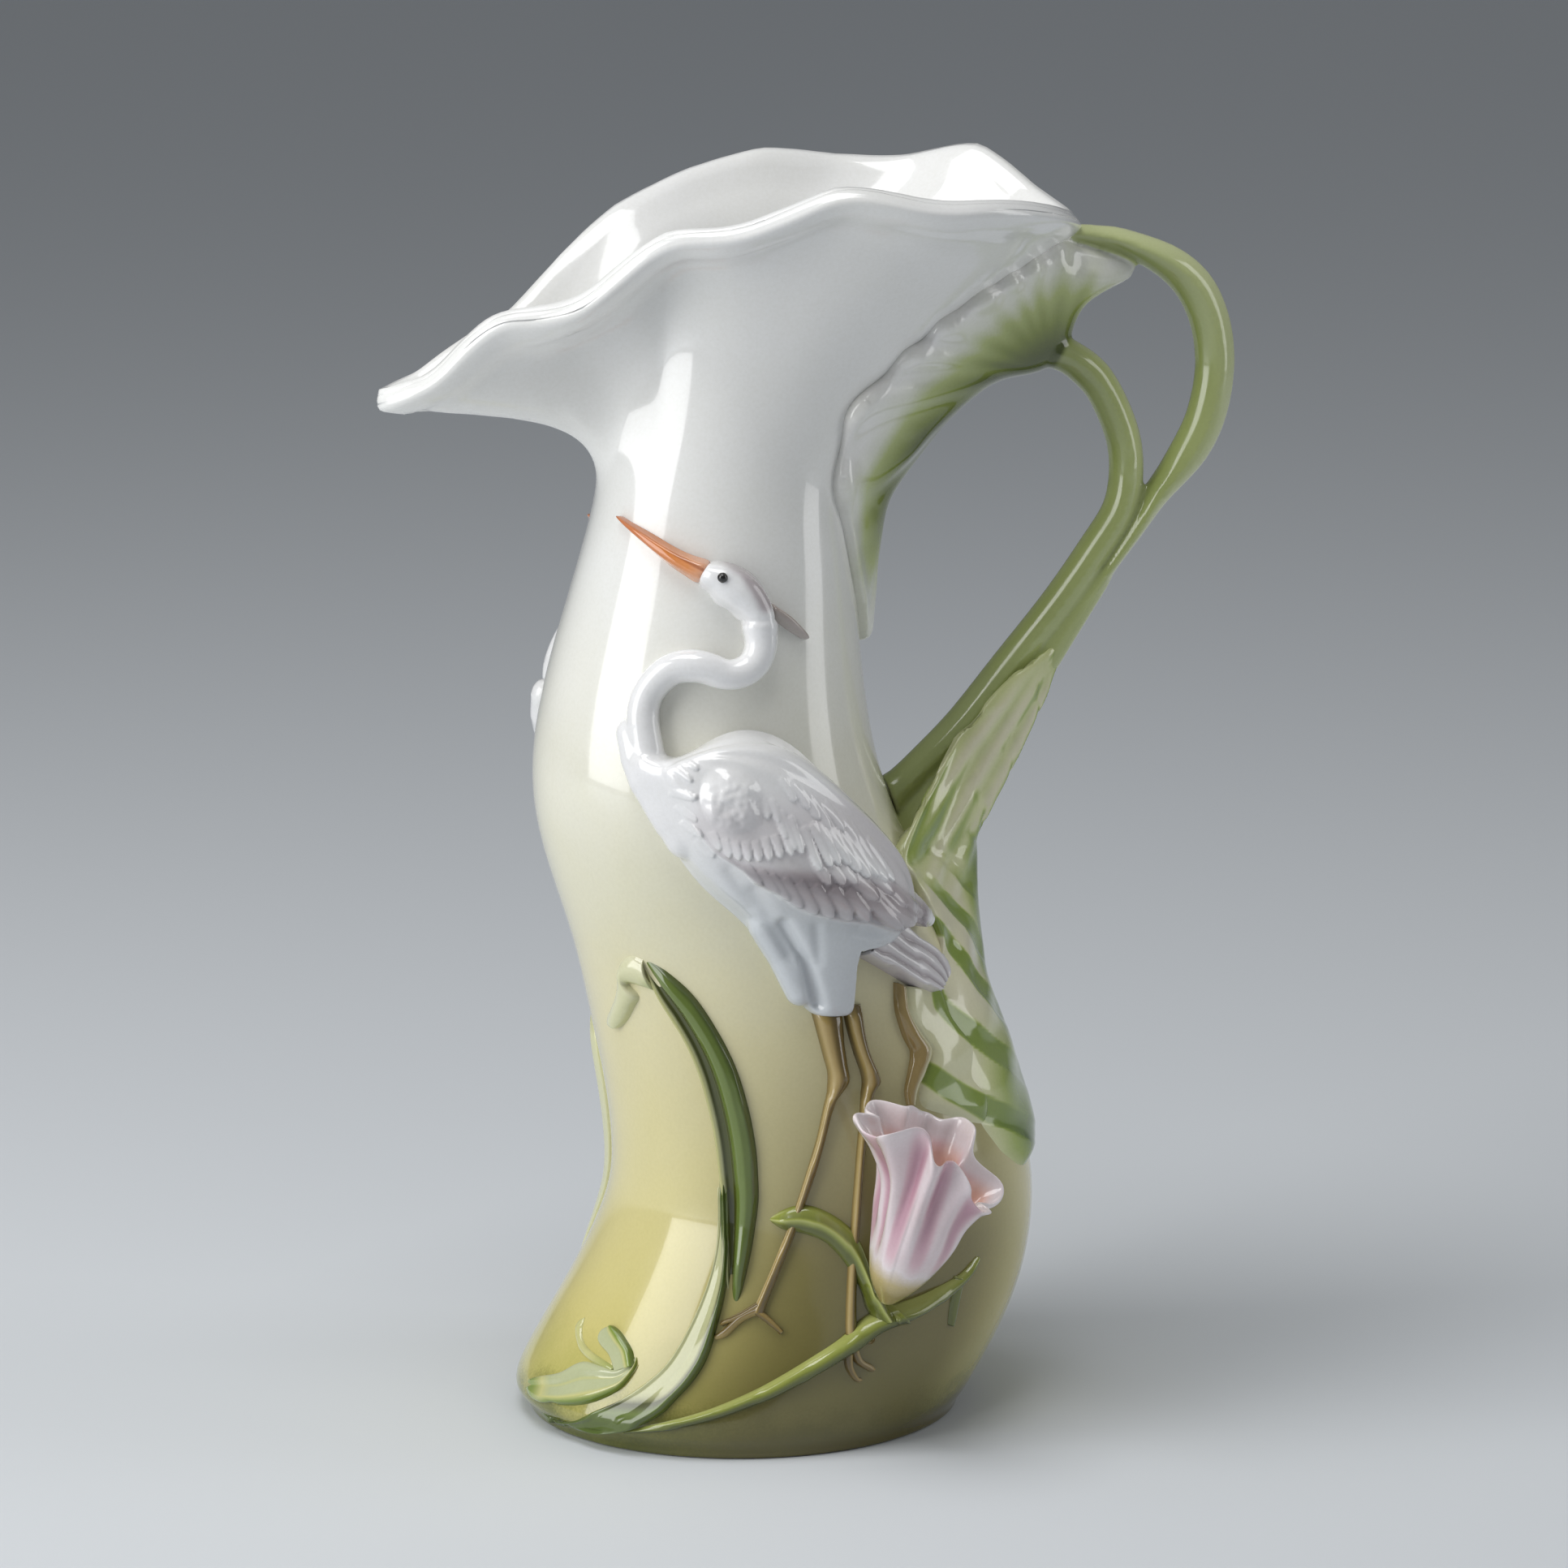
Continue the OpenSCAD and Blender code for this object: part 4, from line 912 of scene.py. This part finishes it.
# clay that fills out the neck's root, the back, the thighs and the wing tip: x, z, radius, lift
NECK_ROOT = [
    (-54.4, 195.5, 4.4, 1.2), (-53, 189.4, 5, 1.6), (-50.2, 184, 6, 1.8), (-45.7, 177.2, 6.8, 1.8),
    (-41.1, 170.1, 7.2, 1.8)]
BACK_PAD = [
    (-37.5, 186, 5.6, 3), (-31, 188.6, 6.6, 4.2), (-24, 187.2, 6.8, 4.6), (-16, 181.5, 6.6, 4.6),
    (-8, 173.5, 6.4, 4.6), (0, 165, 6, 4.4)]
THIGHS = [
    [(-20.9, 146, 6.2, 2), (-16.7, 137.2, 5.2, 2), (-12.8, 127.4, 4.4, 1.8)],
    [(-6.5, 143.7, 6, 2), (-4.4, 135.7, 5, 2), (-3, 127.2, 4.4, 1.8)]]
WING_TIP = [(3, 154.5, 6, 4.2), (12, 147.9, 4.8, 4.6), (19.4, 142.2, 3.4, 4.4), (22.6, 139.8, 2.2, 4)]
# right border of the rear thigh by height, and depth of the white down under the wing: the wall shows
# beyond them
THIGH_EDGE = [(118, 1.2), (128, 1.6), (134, 1.8), (138, 2.6), (141, 4.5), (144, 7)]
DOWN_DEPTH = [(4, 8), (10, 5.5), (16, 3), (22, 1), (26, 0.5)]


def feather_rise(x, z):
    """How far the feathers stand over the wing at a place."""
    best = 0.0
    for tip_x, tip_z, length, half, c, s, rise in PLUMES:
        dx, dz = tip_x - x, tip_z - z
        back = dx * c + dz * s
        if 0 < back < length:
            off = abs(dx * s - dz * c)
            wide = half * min(1.0, math.sqrt(back / (half * 1.4)))
            if off < wide:
                round_edge = (1 - (off / wide) ** 2) ** 0.4
                best = max(best, rise * (1 - 0.8 * back / length) * (0.2 + 0.8 * round_edge))
    return best


def plumage_rise(x, z):
    """Relief of the whole bird at a place: shoulder, feathers, the wing's edge and creases."""
    over = z - along(WING_EDGE, x)
    wing = ease(-0.6, 0.5, over) * ease(18, 5, over) * ease(27, 22, x) * ease(-46, -40, x)
    rise = feather_rise(x, z) + 0.9 * wing
    gap = math.hypot(x - SHOULDER[0], (z - SHOULDER[1]) * 0.95)
    if gap < 10:
        dimples = 0.5 * fractal(Vector((x * 0.32, z * 0.32, 0.5)), 1.0, 2.0, 2)
        rise = max(rise, (1.9 + dimples) * ease(10, 3.5, gap))
    for line, depth, half in CREASES:
        away = off_line(Vector((x, 0, z)), line)[0]
        rise -= depth * math.exp(-(away / half) ** 2)
    return rise


def make_bird(prefix, side):
    """A bird in relief on the near side, -1, or on the far side, 1."""
    far = side > 0
    shift = FAR_SHIFT if far else 0

    def flow(part, node):
        """The neck runs on into the breast."""
        lute(part)
        if node.endswith("neck"):
            for v in part.data.vertices:
                v.co += Vector((1.0, side * 0.5, -6)) * MM * ease(203, 190, v.co.z / MM)

    nodes = [prefix + name for name in ("body", "neck", "head", "wing")]
    clay = [lump for rows in (NECK_ROOT, BACK_PAD, *THIGHS, WING_TIP) for lump in pads(rows, side)]
    figure = fuse(nodes, "glazed_" + prefix + "figure", 0.7 if far else 0.45, 0.2, 10, flow, clay)
    soft = figure.vertex_groups.new(name="soft")
    for v in figure.data.vertices:
        near = off_line(Vector((v.co.x / MM - shift, 0, v.co.z / MM)), BREAST_LINE)[0]
        if near < 13 and v.co.z / MM < 199:
            soft.add([v.index], ease(13, 5, near), "REPLACE")
    work(figure, "SMOOTH", factor=0.5, iterations=20 if far else 45, vertex_group="soft")
    figure.vertex_groups.clear()
    facing = [ease(0.0, 0.4, v.normal.dot(outwards(v.co / MM))) for v in figure.data.vertices]
    rises = [plumage_rise(v.co.x / MM - shift, v.co.z / MM) if f > 0 and v.co.z < 0.2 else 0
             for v, f in zip(figure.data.vertices, facing)]
    height = 0.9 if far else 1.25
    for v, f, rise in zip(figure.data.vertices, facing, rises):
        v.co += outwards(v.co / MM) * height * f * rise * MM
        if v.co.y > FAR_LIMIT:
            v.co.y = FAR_LIMIT + (v.co.y - FAR_LIMIT) * 0.3
        x, z = v.co.x / MM - shift, v.co.z / MM
        past = min(x - along(THIGH_EDGE, z), along(WING_EDGE, x) - along(DOWN_DEPTH, x) - z)
        if past > 0:
            v.co -= outwards(v.co / MM) * 11 * MM * ease(0, 2.2, past)
    work(figure, "SMOOTH", factor=0.4, iterations=1)
    low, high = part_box(prefix + "eye")
    eye = (low + high) / 2 / MM
    crown = [(eye.x + dx, eye.z + dz) for dx, dz in ((2.2, 5), (6.5, 1.8), (9.4, -3), (11.5, -7))]

    def taupe(p, n):
        x, z = p.x - shift, p.z
        if z > 205:
            return 0.66 * ease(3.6, 1.2, off_line(p, crown)[0])
        on_wing = ease(-0.8, 0.6, z - along(WING_EDGE, x)) * ease(27, 22, x) * ease(-46, -41, x)
        # painted shade: the wing darker below 186 mm where the feathers stand low, in the grooves between
        # them
        groove_shade = ease(1.0, 0.15, feather_rise(x, z))
        low_part = ease(2.5, -2.0, z - along(TAUPE_LINE, x))
        return on_wing * (0.6 * low_part + 0.34 * groove_shade * ease(186, 174, z)) + 0.03

    # painted shade: a bluish grey over the belly and thighs below the wing's edge
    def cool_shade(p, n):
        x = p.x - shift
        return 0.75 * ease(180, 140, p.z) * ease(6, -4, p.z - along(WING_EDGE, x)) * ease(-50, -38, x)

    paint(figure, "tint", taupe)
    paint(figure, "trim_and_painted_light", cool_shade)
    settle(figure, PLUMAGE, *nodes)

    def quill(w):
        return abs(math.sin(4 * math.pi * w)) ** 0.6

    def tail_height(w, k):
        edge = ease(0, 0.1, w) * ease(1, 0.9, w) * ease(6, 5.5, k)
        return sunk(along([(0, 5.5), (3, 5), (6, 3.6)], k) + 0.8 * quill(w), edge)

    tail = strip("glazed_" + prefix + "tail", TAIL_EDGES, tail_height, far, 32)
    paint_along(tail, "tint", lambda w, k, n: 0.85 - 0.5 * quill(w))
    paint_along(tail, "trim_and_painted_light", lambda w, k, n: 0)
    settle(join(tail.name, tail), PLUMAGE, prefix + "tail")

    bill = cast(prefix + "bill", 2)
    lute(bill)
    low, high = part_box(prefix + "bill")

    def from_tip(p):
        return min(max((p.x - low.x / MM) / ((high.x - low.x) / MM), 0), 1)

    def mouth(p, n):
        t = from_tip(p)
        middle = high.z / MM - 1 - (high.z / MM - low.z / MM - 3.6) * t
        return 0.6 * ease(0.8, 0.2, abs(p.z - middle)) * ease(0.4, 0.7, t)

    paint(bill, "tint", lambda p, n: 1 - ease(0.0, 1.0, from_tip(p)))
    paint(bill, "trim_and_painted_light", mouth)
    settle(bill, BILL, prefix + "bill")

    crest = cast(prefix + "crest", 2, 0.35)
    lute(crest)
    paint(crest, "tint", lambda p, n: 0.4 + 0.25 * n.z)
    settle(crest, CREST, prefix + "crest")
    bead = cast(prefix + "eye", 2)
    # painted sheen: the black bead a little lighter where it faces up
    paint(bead, "tint", lambda p, n: ease(0, 1, n.z))
    settle(bead, EYE, prefix + "eye")

    # the legs' brown, with a painted highlight: a lighter band across the first half of each leg and toe, the
    # left side of the legs
    def brown(w, k, n):
        return 0.9 - 0.5 * ease(0.02, 0.2, w) * ease(0.62, 0.36, w) + 0.1 * ease(3, 1, k)

    for leg, (run, *toes) in (("leg_front", FRONT_LEG), ("leg_rear", REAR_LEG)):
        name = "glazed_" + prefix + leg
        parts = [round_strip(name, run, LEG_RISE, far)]
        parts += [round_strip(name, toe, TOE_RISE, far, 8) for toe in toes]
        for part in parts:
            paint_along(part, "tint", brown)
            # painted highlight: a cream line along the first side of each leg and toe
            paint_along(part, "trim_and_painted_light", lambda w, k, n: 0.5 * math.exp(-((w - 0.2) / 0.1) ** 2))
        settle(join(name, *parts), LEG, prefix + leg)


# --- plants

# bract under the flower
BRACT = [
    (-4.2, -117.6, -4.2, -118.4), (0.1, -115, -0.2, -120.9), (5.3, -113.7, 5.3, -122.1),
    (11.1, -115.3, 10.4, -124), (16.6, -118.7, 14.4, -127.6), (20.7, -123.6, 17.7, -132),
    (23.2, -130.5, 20.5, -137.3), (25.1, -137.1, 22.1, -142), (28, -142.3, 24.3, -145.9)]
# flower stem
STEM_RUN = [
    (31.6, -145.7, 28.7, -140.3), (25.2, -148.9, 21.9, -144.1), (17.9, -154.8, 14.6, -150.3),
    (8.1, -160.8, 5.4, -156.3), (-0.9, -165.7, -3.2, -161.4), (-7, -168.3, -8.8, -164.3),
    (-16.8, -171.9, -18.1, -168.3), (-25.8, -174.2, -26.6, -171.1), (-34.8, -175.5, -35.2, -173.2),
    (-43, -175.8, -43.1, -174.7)]
# side shoot
SIDE_RUN = [
    (27.1, -141.5, 28.8, -146.2), (35.2, -138.9, 36.9, -143), (42.4, -135.6, 44.3, -138.7),
    (48.4, -131.7, 50.1, -133.5), (52.1, -127.8, 52.8, -128.3)]
# short stub under the side shoot
STUB_RUN = [(48.6, -133.7, 45.7, -133.2), (47.6, -139.6, 44.7, -139.1), (46.1, -146.7, 43.9, -146.3)]
# how far the flower's edge stands up, and how far out, at a turn from the right by the far side, in mm
EDGE_RISE = [
    (0, -14), (25, -9), (45, -3), (90, -4), (135, 0), (165, 2), (190, 6), (210, 12), (225, 14.5),
    (240, 14.5), (252, 13.5), (264, 11.5), (278, 8), (292, 4.5), (310, -2.5), (330, -9.5), (360, -14)]
EDGE_REACH = [
    (0, 0), (45, 0), (90, 0), (135, 0), (160, 2), (185, 4), (205, 4), (225, 0), (245, -5), (270, -8),
    (300, -6), (330, -2), (360, 0)]

# height and tint across the bract, from its upper edge to its lower one
BRACT_RISE = [(0, -0.8), (0.08, 1.6), (0.3, 2.8), (0.45, 3.6), (0.55, 3.2), (0.8, 2), (0.93, 1.2), (1, -0.8)]
BRACT_TINT = [(0, 0.6), (0.1, 0.35), (0.36, 0.55), (0.45, 0.1), (0.54, 0.3), (0.7, 0.8), (1, 0.7)]
CUP_HEIGHT = 48
NEAR_LIMIT = -0.076   # depth beyond which the flower is pressed flat, in m


def make_flower():
    """Hollow flower with folds and a tilted edge, its stem, side shoot and bract."""
    piece = cast("flower_cup", 3)
    lean = Vector((0.22, -0.29, 0.94)).normalized()
    across = Vector((0, 1, 0)).cross(lean).normalized()
    third = lean.cross(across)
    seat = min((v.co / MM for v in frame["nodes"]["flower_cup"].data.vertices), key=lambda c: c.dot(lean))

    def polar(p):
        """Share of the flower's height, turn round its middle line and way off that line."""
        d = p - seat
        turn = math.degrees(math.atan2(d.dot(third), d.dot(across))) % 360
        return d.dot(lean) / CUP_HEIGHT, turn, d - lean * d.dot(lean)

    def pleat(turn):
        """1 on a fold's ridge, -1 in its valley."""
        a = math.radians(turn)
        return math.sin(9 * a - 0.79) * (0.85 + 0.25 * math.sin(2 * a + 1))

    start = [polar(v.co / MM) for v in piece.data.vertices]
    inner = [ease(0.15, -0.25, v.normal.dot(flat.normalized())) if f > 0.06 else 0
             for v, (f, turn, flat) in zip(piece.data.vertices, start)]
    for v, (f, turn, flat) in zip(piece.data.vertices, start):
        f = min(max(f, 0), 1.1)
        left = math.exp(-((turn - 190) / 45) ** 2)
        slim = flat.length * (0.42 * ease(0.0, 0.6, f) - 0.42)
        slim -= 4.5 * left * ease(0.1, 0.5, f) * ease(1.05, 0.7, f)
        fold = 2.2 * pleat(turn) * ease(0.28, 0.95, f)
        fold += 0.7 * math.sin(math.radians(turn * 17 + 60)) * ease(0.75, 1.0, f)
        reach = along(EDGE_REACH, turn) * min(f, 1) ** (4 if left > 0.2 else 2.5)
        curl = 1.8 * ease(0.88, 1.02, f)
        out = flat.normalized() * (slim + fold + reach + curl)
        v.co += (out + lean * along(EDGE_RISE, turn) * min(f, 1) ** 2.5) * MM
        if v.co.y < NEAR_LIMIT:
            v.co.y = NEAR_LIMIT + (v.co.y - NEAR_LIMIT) * 0.5

    work(piece, "SMOOTH", factor=0.5, iterations=5)

    def tint(f, turn):
        valley = ease(0.5, -0.8, pleat(turn))
        pink = (0.12 + 0.8 * valley * ease(0.2, 0.6, f)) * ease(0.1, 0.4, f) * ease(1.02, 0.85, f)
        return 0.34 * ease(0.08, 0.42, f) + 0.6 * pink

    keep(piece, "tint", [tint(f, turn) for f, turn, flat in start])
    keep(piece, "trim_and_painted_light", [0.9 * share * ease(1.0, 0.86, f) for share, (f, turn, flat) in zip(inner, start)])
    settle(piece, PETAL, "flower_cup")

    spot, out = seen(STEM_RUN[0][0], STEM_RUN[0][1])
    stand = max((seat * MM - spot).dot(out) / MM + 1.5, 4)
    top = [(0, stand), (1, stand * 0.7)]
    stem = round_strip("glazed_flower_stem", STEM_RUN, top + [(2.5, 3.6), (5, 3.2), (9, 1)])
    shoot = round_strip("glazed_flower_side_stem", SIDE_RUN, top + [(2, 3), (4, 1)])
    stub = round_strip("side_stub", STUB_RUN, [(0, 2), (2, 1.2)])

    def bract_height(w, k):
        grow = ease(-0.3, 1.2, k) * (1 + (stand / 4 - 1) * ease(5, 8, k))
        return sunk(along(BRACT_RISE, w), grow)

    bract = strip("glazed_flower_bract", BRACT, bract_height)
    # painted light: the stem, shoot and stub lighter where they face up and darker where they face down
    for part in (stem, shoot, stub):
        paint_along(part, "tint", lambda w, k, n: 0.6 - 0.5 * n.z)
    paint_along(bract, "tint", lambda w, k, n: along(BRACT_TINT, w) - 0.25 * ease(1.5, 0, k))
    settle(join(stem.name, stem), STEM, "flower_stem")
    settle(join(shoot.name, shoot, stub), STEM, "flower_side_stem")
    settle(join(bract.name, bract), STEM, "flower_bract")


# upper blade: ridge, groove and outer half
BLADE_UPPER = [
    (-39, -48.1, -37.2, -47.4), (-35, -56.2, -30.6, -51.4), (-30.3, -63.9, -23.7, -58),
    (-26.2, -71.2, -17.4, -67.5), (-23.2, -78.5, -12.7, -77.1), (-20.7, -87.3, -9.5, -87.3),
    (-18.9, -96.1, -7.5, -97.6), (-17.6, -106.4, -6.8, -106.4), (-16.8, -113.7, -6.8, -113.7),
    (-16.4, -121, -7.9, -121.8), (-16, -128.4, -9.5, -130.5), (-15.8, -134.9, -11.4, -137.9),
    (-15.2, -140.8, -13.3, -143)]
# lower blade: the inner half that turns up and sweeps round the toe
BLADE_LOWER = [
    (-17.7, -106.4, -15.8, -106.4), (-17, -112.2, -15.2, -112.2), (-17.2, -120.3, -14.9, -120.3),
    (-18.5, -128.4, -14.9, -128.4), (-21.5, -137.9, -15.5, -136.4), (-26.6, -148.9, -17.4, -145.2),
    (-32.1, -157.3, -20.2, -154.7), (-37.9, -162.4, -23.9, -161.3), (-44.5, -166.8, -28.4, -166.4),
    (-51.1, -169.7, -32.8, -170.8), (-56.6, -171.9, -39.4, -174.1), (-60.3, -172.3, -46.7, -175.2),
    (-63.6, -171.6, -54.8, -174.4), (-65.4, -170.5, -62.1, -172.3)]
# tip of the blade, bent over and hanging
HOOK = [
    (-38.3, -47.4, -35, -56.2), (-40.9, -46.2, -37.2, -55.5), (-43.3, -47, -41, -54.2),
    (-44.5, -50, -41.6, -54.7), (-44.9, -54.4, -39, -57.7), (-46, -58.8, -40.3, -60.6),
    (-47.5, -62.4, -41.6, -63.3), (-47.6, -64.5, -42.9, -65), (-46.4, -65.5, -43.8, -65.8)]
# sprout: the leaf that lies along the toe
SPROUT_LEAF = [
    (-70.5, -161.3, -69.8, -164.2), (-66.5, -160, -66.5, -167.2), (-60.7, -159, -59.9, -168.5),
    (-54.8, -156, -53.3, -168.3), (-49.7, -157.1, -47.6, -166.3), (-45.3, -158.5, -43.4, -163.4),
    (-41.6, -156.9, -40.1, -158.5), (-40.1, -154.4, -39.7, -155)]
# sprout: the upright leaf
SPROUT_BUD = [
    (-46.4, -159.3, -40.1, -157.7), (-47.8, -154.9, -40.7, -153.6), (-50.3, -151.9, -42.5, -150.3),
    (-50.8, -150, -44.2, -148), (-49.2, -147.7, -45.9, -146.7), (-47.6, -146.6, -46.9, -146.4)]
# sprout: the thin shoot that curls back
SPROUT_CURL = [
    (-46.7, -159.6, -45.7, -157.7), (-51.6, -157.1, -50.3, -154.6), (-55.2, -153.8, -53, -152.4),
    (-56.4, -150.3, -54.1, -150.3), (-56.6, -147, -54.4, -148.1), (-55.7, -145.2, -54.1, -146.4),
    (-54.1, -144.4, -53.8, -144.8)]
# height and tint of the blades, the lying leaf and the bud across, from one edge to the other; the blades'
# tint is the leaf's green with painted light: a pale painted highlight on the left ridge, painted shade in
# the groove and over the right half
UPPER_RISE = [
    (0, -0.8), (0.04, 1.2), (0.1, 1.8), (0.16, 1.4), (0.24, 0.3), (0.36, 0.2), (0.46, 1.6), (0.58, 2.9),
    (0.74, 3.2), (0.9, 2.3), (0.97, 0.9), (1, -0.8)]
UPPER_TINT = [
    (0, 0.1), (0.1, 0.06), (0.16, 0.14), (0.21, 0.36), (0.38, 0.38), (0.47, 0.66), (0.6, 0.62), (0.85, 0.7),
    (1, 1)]
LOWER_RISE = [
    (0, -0.8), (0.05, 1.3), (0.1, 1.5), (0.2, 1.1), (0.5, 1.5), (0.75, 2.4), (0.88, 2.8), (0.96, 1.8),
    (1, -0.8)]
LOWER_TINT = [(0, 0.04), (0.06, 0.08), (0.12, 0.16), (0.7, 0.17), (0.8, 0.3), (0.88, 0.75), (1, 0.95)]
LEAF_RISE = [(0, -0.8), (0.06, 1), (0.2, 1.6), (0.42, 0.9), (0.62, 1.8), (0.82, 2.6), (0.93, 2), (1, -0.8)]
LEAF_TINT = [(0, 0.1), (0.36, 0.14), (0.42, 0.4), (0.48, 0.14), (0.7, 0.16), (0.84, 0.6), (1, 1)]
BUD_RISE = [(0, 0), (0.12, 1.6), (0.5, 2), (0.82, 2.6), (0.93, 2.2), (1, 0)]
BUD_TINT = [(0, 0.1), (0.55, 0.16), (0.75, 0.7), (1, 1)]


def make_blade():
    """Blade of two halves with its hanging tip, the sprout on the toe and the leaf on the spout side."""
    def upper_height(w, k):
        return sunk(along(UPPER_RISE, w), ease(-0.4, 1.6, k) * ease(12, 10, k))

    def lower_height(w, k):
        return sunk(along(LOWER_RISE, w), ease(-0.5, 1, k) * ease(13, 11, k))

    # painted shade: the lower blade darker towards its end round the toe
    def lower_tint(w, k, n):
        band = along(LOWER_TINT, w)
        return band + (0.8 - band) * ease(7.5, 10, k)

    upper = strip("blade_upper", BLADE_UPPER, upper_height, across=28)
    lower = strip("blade_lower", BLADE_LOWER, lower_height, across=24)
    # painted light across the blades: pale highlight on the left ridge, painted shade in the groove and over
    # the right half
    paint_along(upper, "tint", lambda w, k, n: along(UPPER_TINT, w))
    paint_along(lower, "tint", lower_tint)
    for part in (upper, lower):
        paint_along(part, "trim_and_painted_light", lambda w, k, n: 0)
    settle(join("glazed_blade_leaf", upper, lower), BLADE, "blade_leaf")
    tip = round_strip("glazed_blade_tip", HOOK, [(0, 2.4), (4, 2.8), (8, 1.8)])
    # painted light: the tip lighter where it faces up and darker where it faces down
    paint_along(tip, "tint", lambda w, k, n: 0.25 - 0.3 * n.z + 0.35 * ease(1.2, 0, k) * ease(0.4, 0.8, w))
    settle(join(tip.name, tip), CREAM, "blade_tip")

    def leaf_height(w, k):
        return sunk(along(LEAF_RISE, w), math.sqrt(math.sin(math.pi * min(max(k / 7, 0.02), 0.98))))

    def leaf_tint(w, k, n):
        return max(along(LEAF_TINT, w), 0.75 * ease(2.2, 0.6, k))

    def bud_height(w, k):
        return along(BUD_RISE, w) * ease(5.2, 3.5, k) - SINK

    leaf = strip("sprout_lying", SPROUT_LEAF, leaf_height)
    bud = strip("sprout_upright", SPROUT_BUD, bud_height)
    curl = round_strip("sprout_shoot", SPROUT_CURL, [(0, 0.9), (4, 0.8), (6, 0.2)])
    paint_along(leaf, "tint", leaf_tint)
    paint_along(bud, "tint", lambda w, k, n: along(BUD_TINT, w))
    paint_along(curl, "tint", lambda w, k, n: 0.42 + 0.2 * ease(2, 0, k))
    settle(join("glazed_sprout_leaf", leaf, bud, curl), SPROUT, "sprout_leaf")
    front = cast("front_leaf", 2)
    lute(front)
    paint(front, "tint", lambda p, n: 0.4)
    settle(front, CREAM, "front_leaf")


make_body()
make_handle()
make_lower_leaf()
make_bird("egret_", -1)
make_bird("far_egret_", 1)
make_flower()
make_blade()


# --- floor, light and camera

def make_stage():
    bpy.ops.object.select_all(action="DESELECT")
    bpy.ops.mesh.primitive_plane_add(size=24, location=(0, 0, 0))
    floor = bpy.context.active_object
    floor.name = floor.data.name = "floor"
    pale = bpy.data.materials.new("pale_floor")
    pale.use_nodes = True
    shader = pale.node_tree.nodes["Principled BSDF"]
    shader.inputs["Base Color"].default_value = colour("dde1e5")
    shader.inputs["Roughness"].default_value = 0.75
    floor.data.materials.append(pale)
    world = bpy.data.worlds.new("studio")
    world.use_nodes = True
    bpy.context.scene.world = world
    back = world.node_tree.nodes["Background"]
    back.inputs["Color"].default_value = colour("dfe3e7")
    back.inputs["Strength"].default_value = 0.23


def set_up(name, kind, place, way):
    """Put a lamp or the camera in its place, turned along way."""
    holder = bpy.data.objects.new(name, kind)
    bpy.context.scene.collection.objects.link(holder)
    holder.location = place
    holder.rotation_euler = way.to_track_quat("-Z", "Y").to_euler()
    return holder


def lamp(name, place, aim, size, watts):
    light = bpy.data.lights.new(name, "AREA")
    light.shape = "RECTANGLE"
    light.size, light.size_y = size
    light.energy = watts
    set_up(name, light, place, Vector(aim) - Vector(place))


def make_light():
    lamp("key_softbox", (-1.35, -0.36, 0.7), (0, 0, 0.18), (0.9, 1.4), 15.5)
    lamp("fill_softbox", (1.35, -0.35, 0.6), (0, 0, 0.18), (0.5, 1.2), 4)
    lamp("top_softbox", (-0.3, -0.22, 1.5), (0, 0, 0.3), (0.9, 0.7), 9)


def make_camera():
    lens = bpy.data.cameras.new("camera")
    lens.sensor_width = 36
    lens.lens = 152.6
    lens.clip_end = 60
    bpy.context.scene.camera = set_up("camera", lens, MIDDLE + BACK * CAMERA_GAP, -BACK)


make_stage()
make_light()
make_camera()
bpy.context.scene.view_settings.view_transform = "Standard"
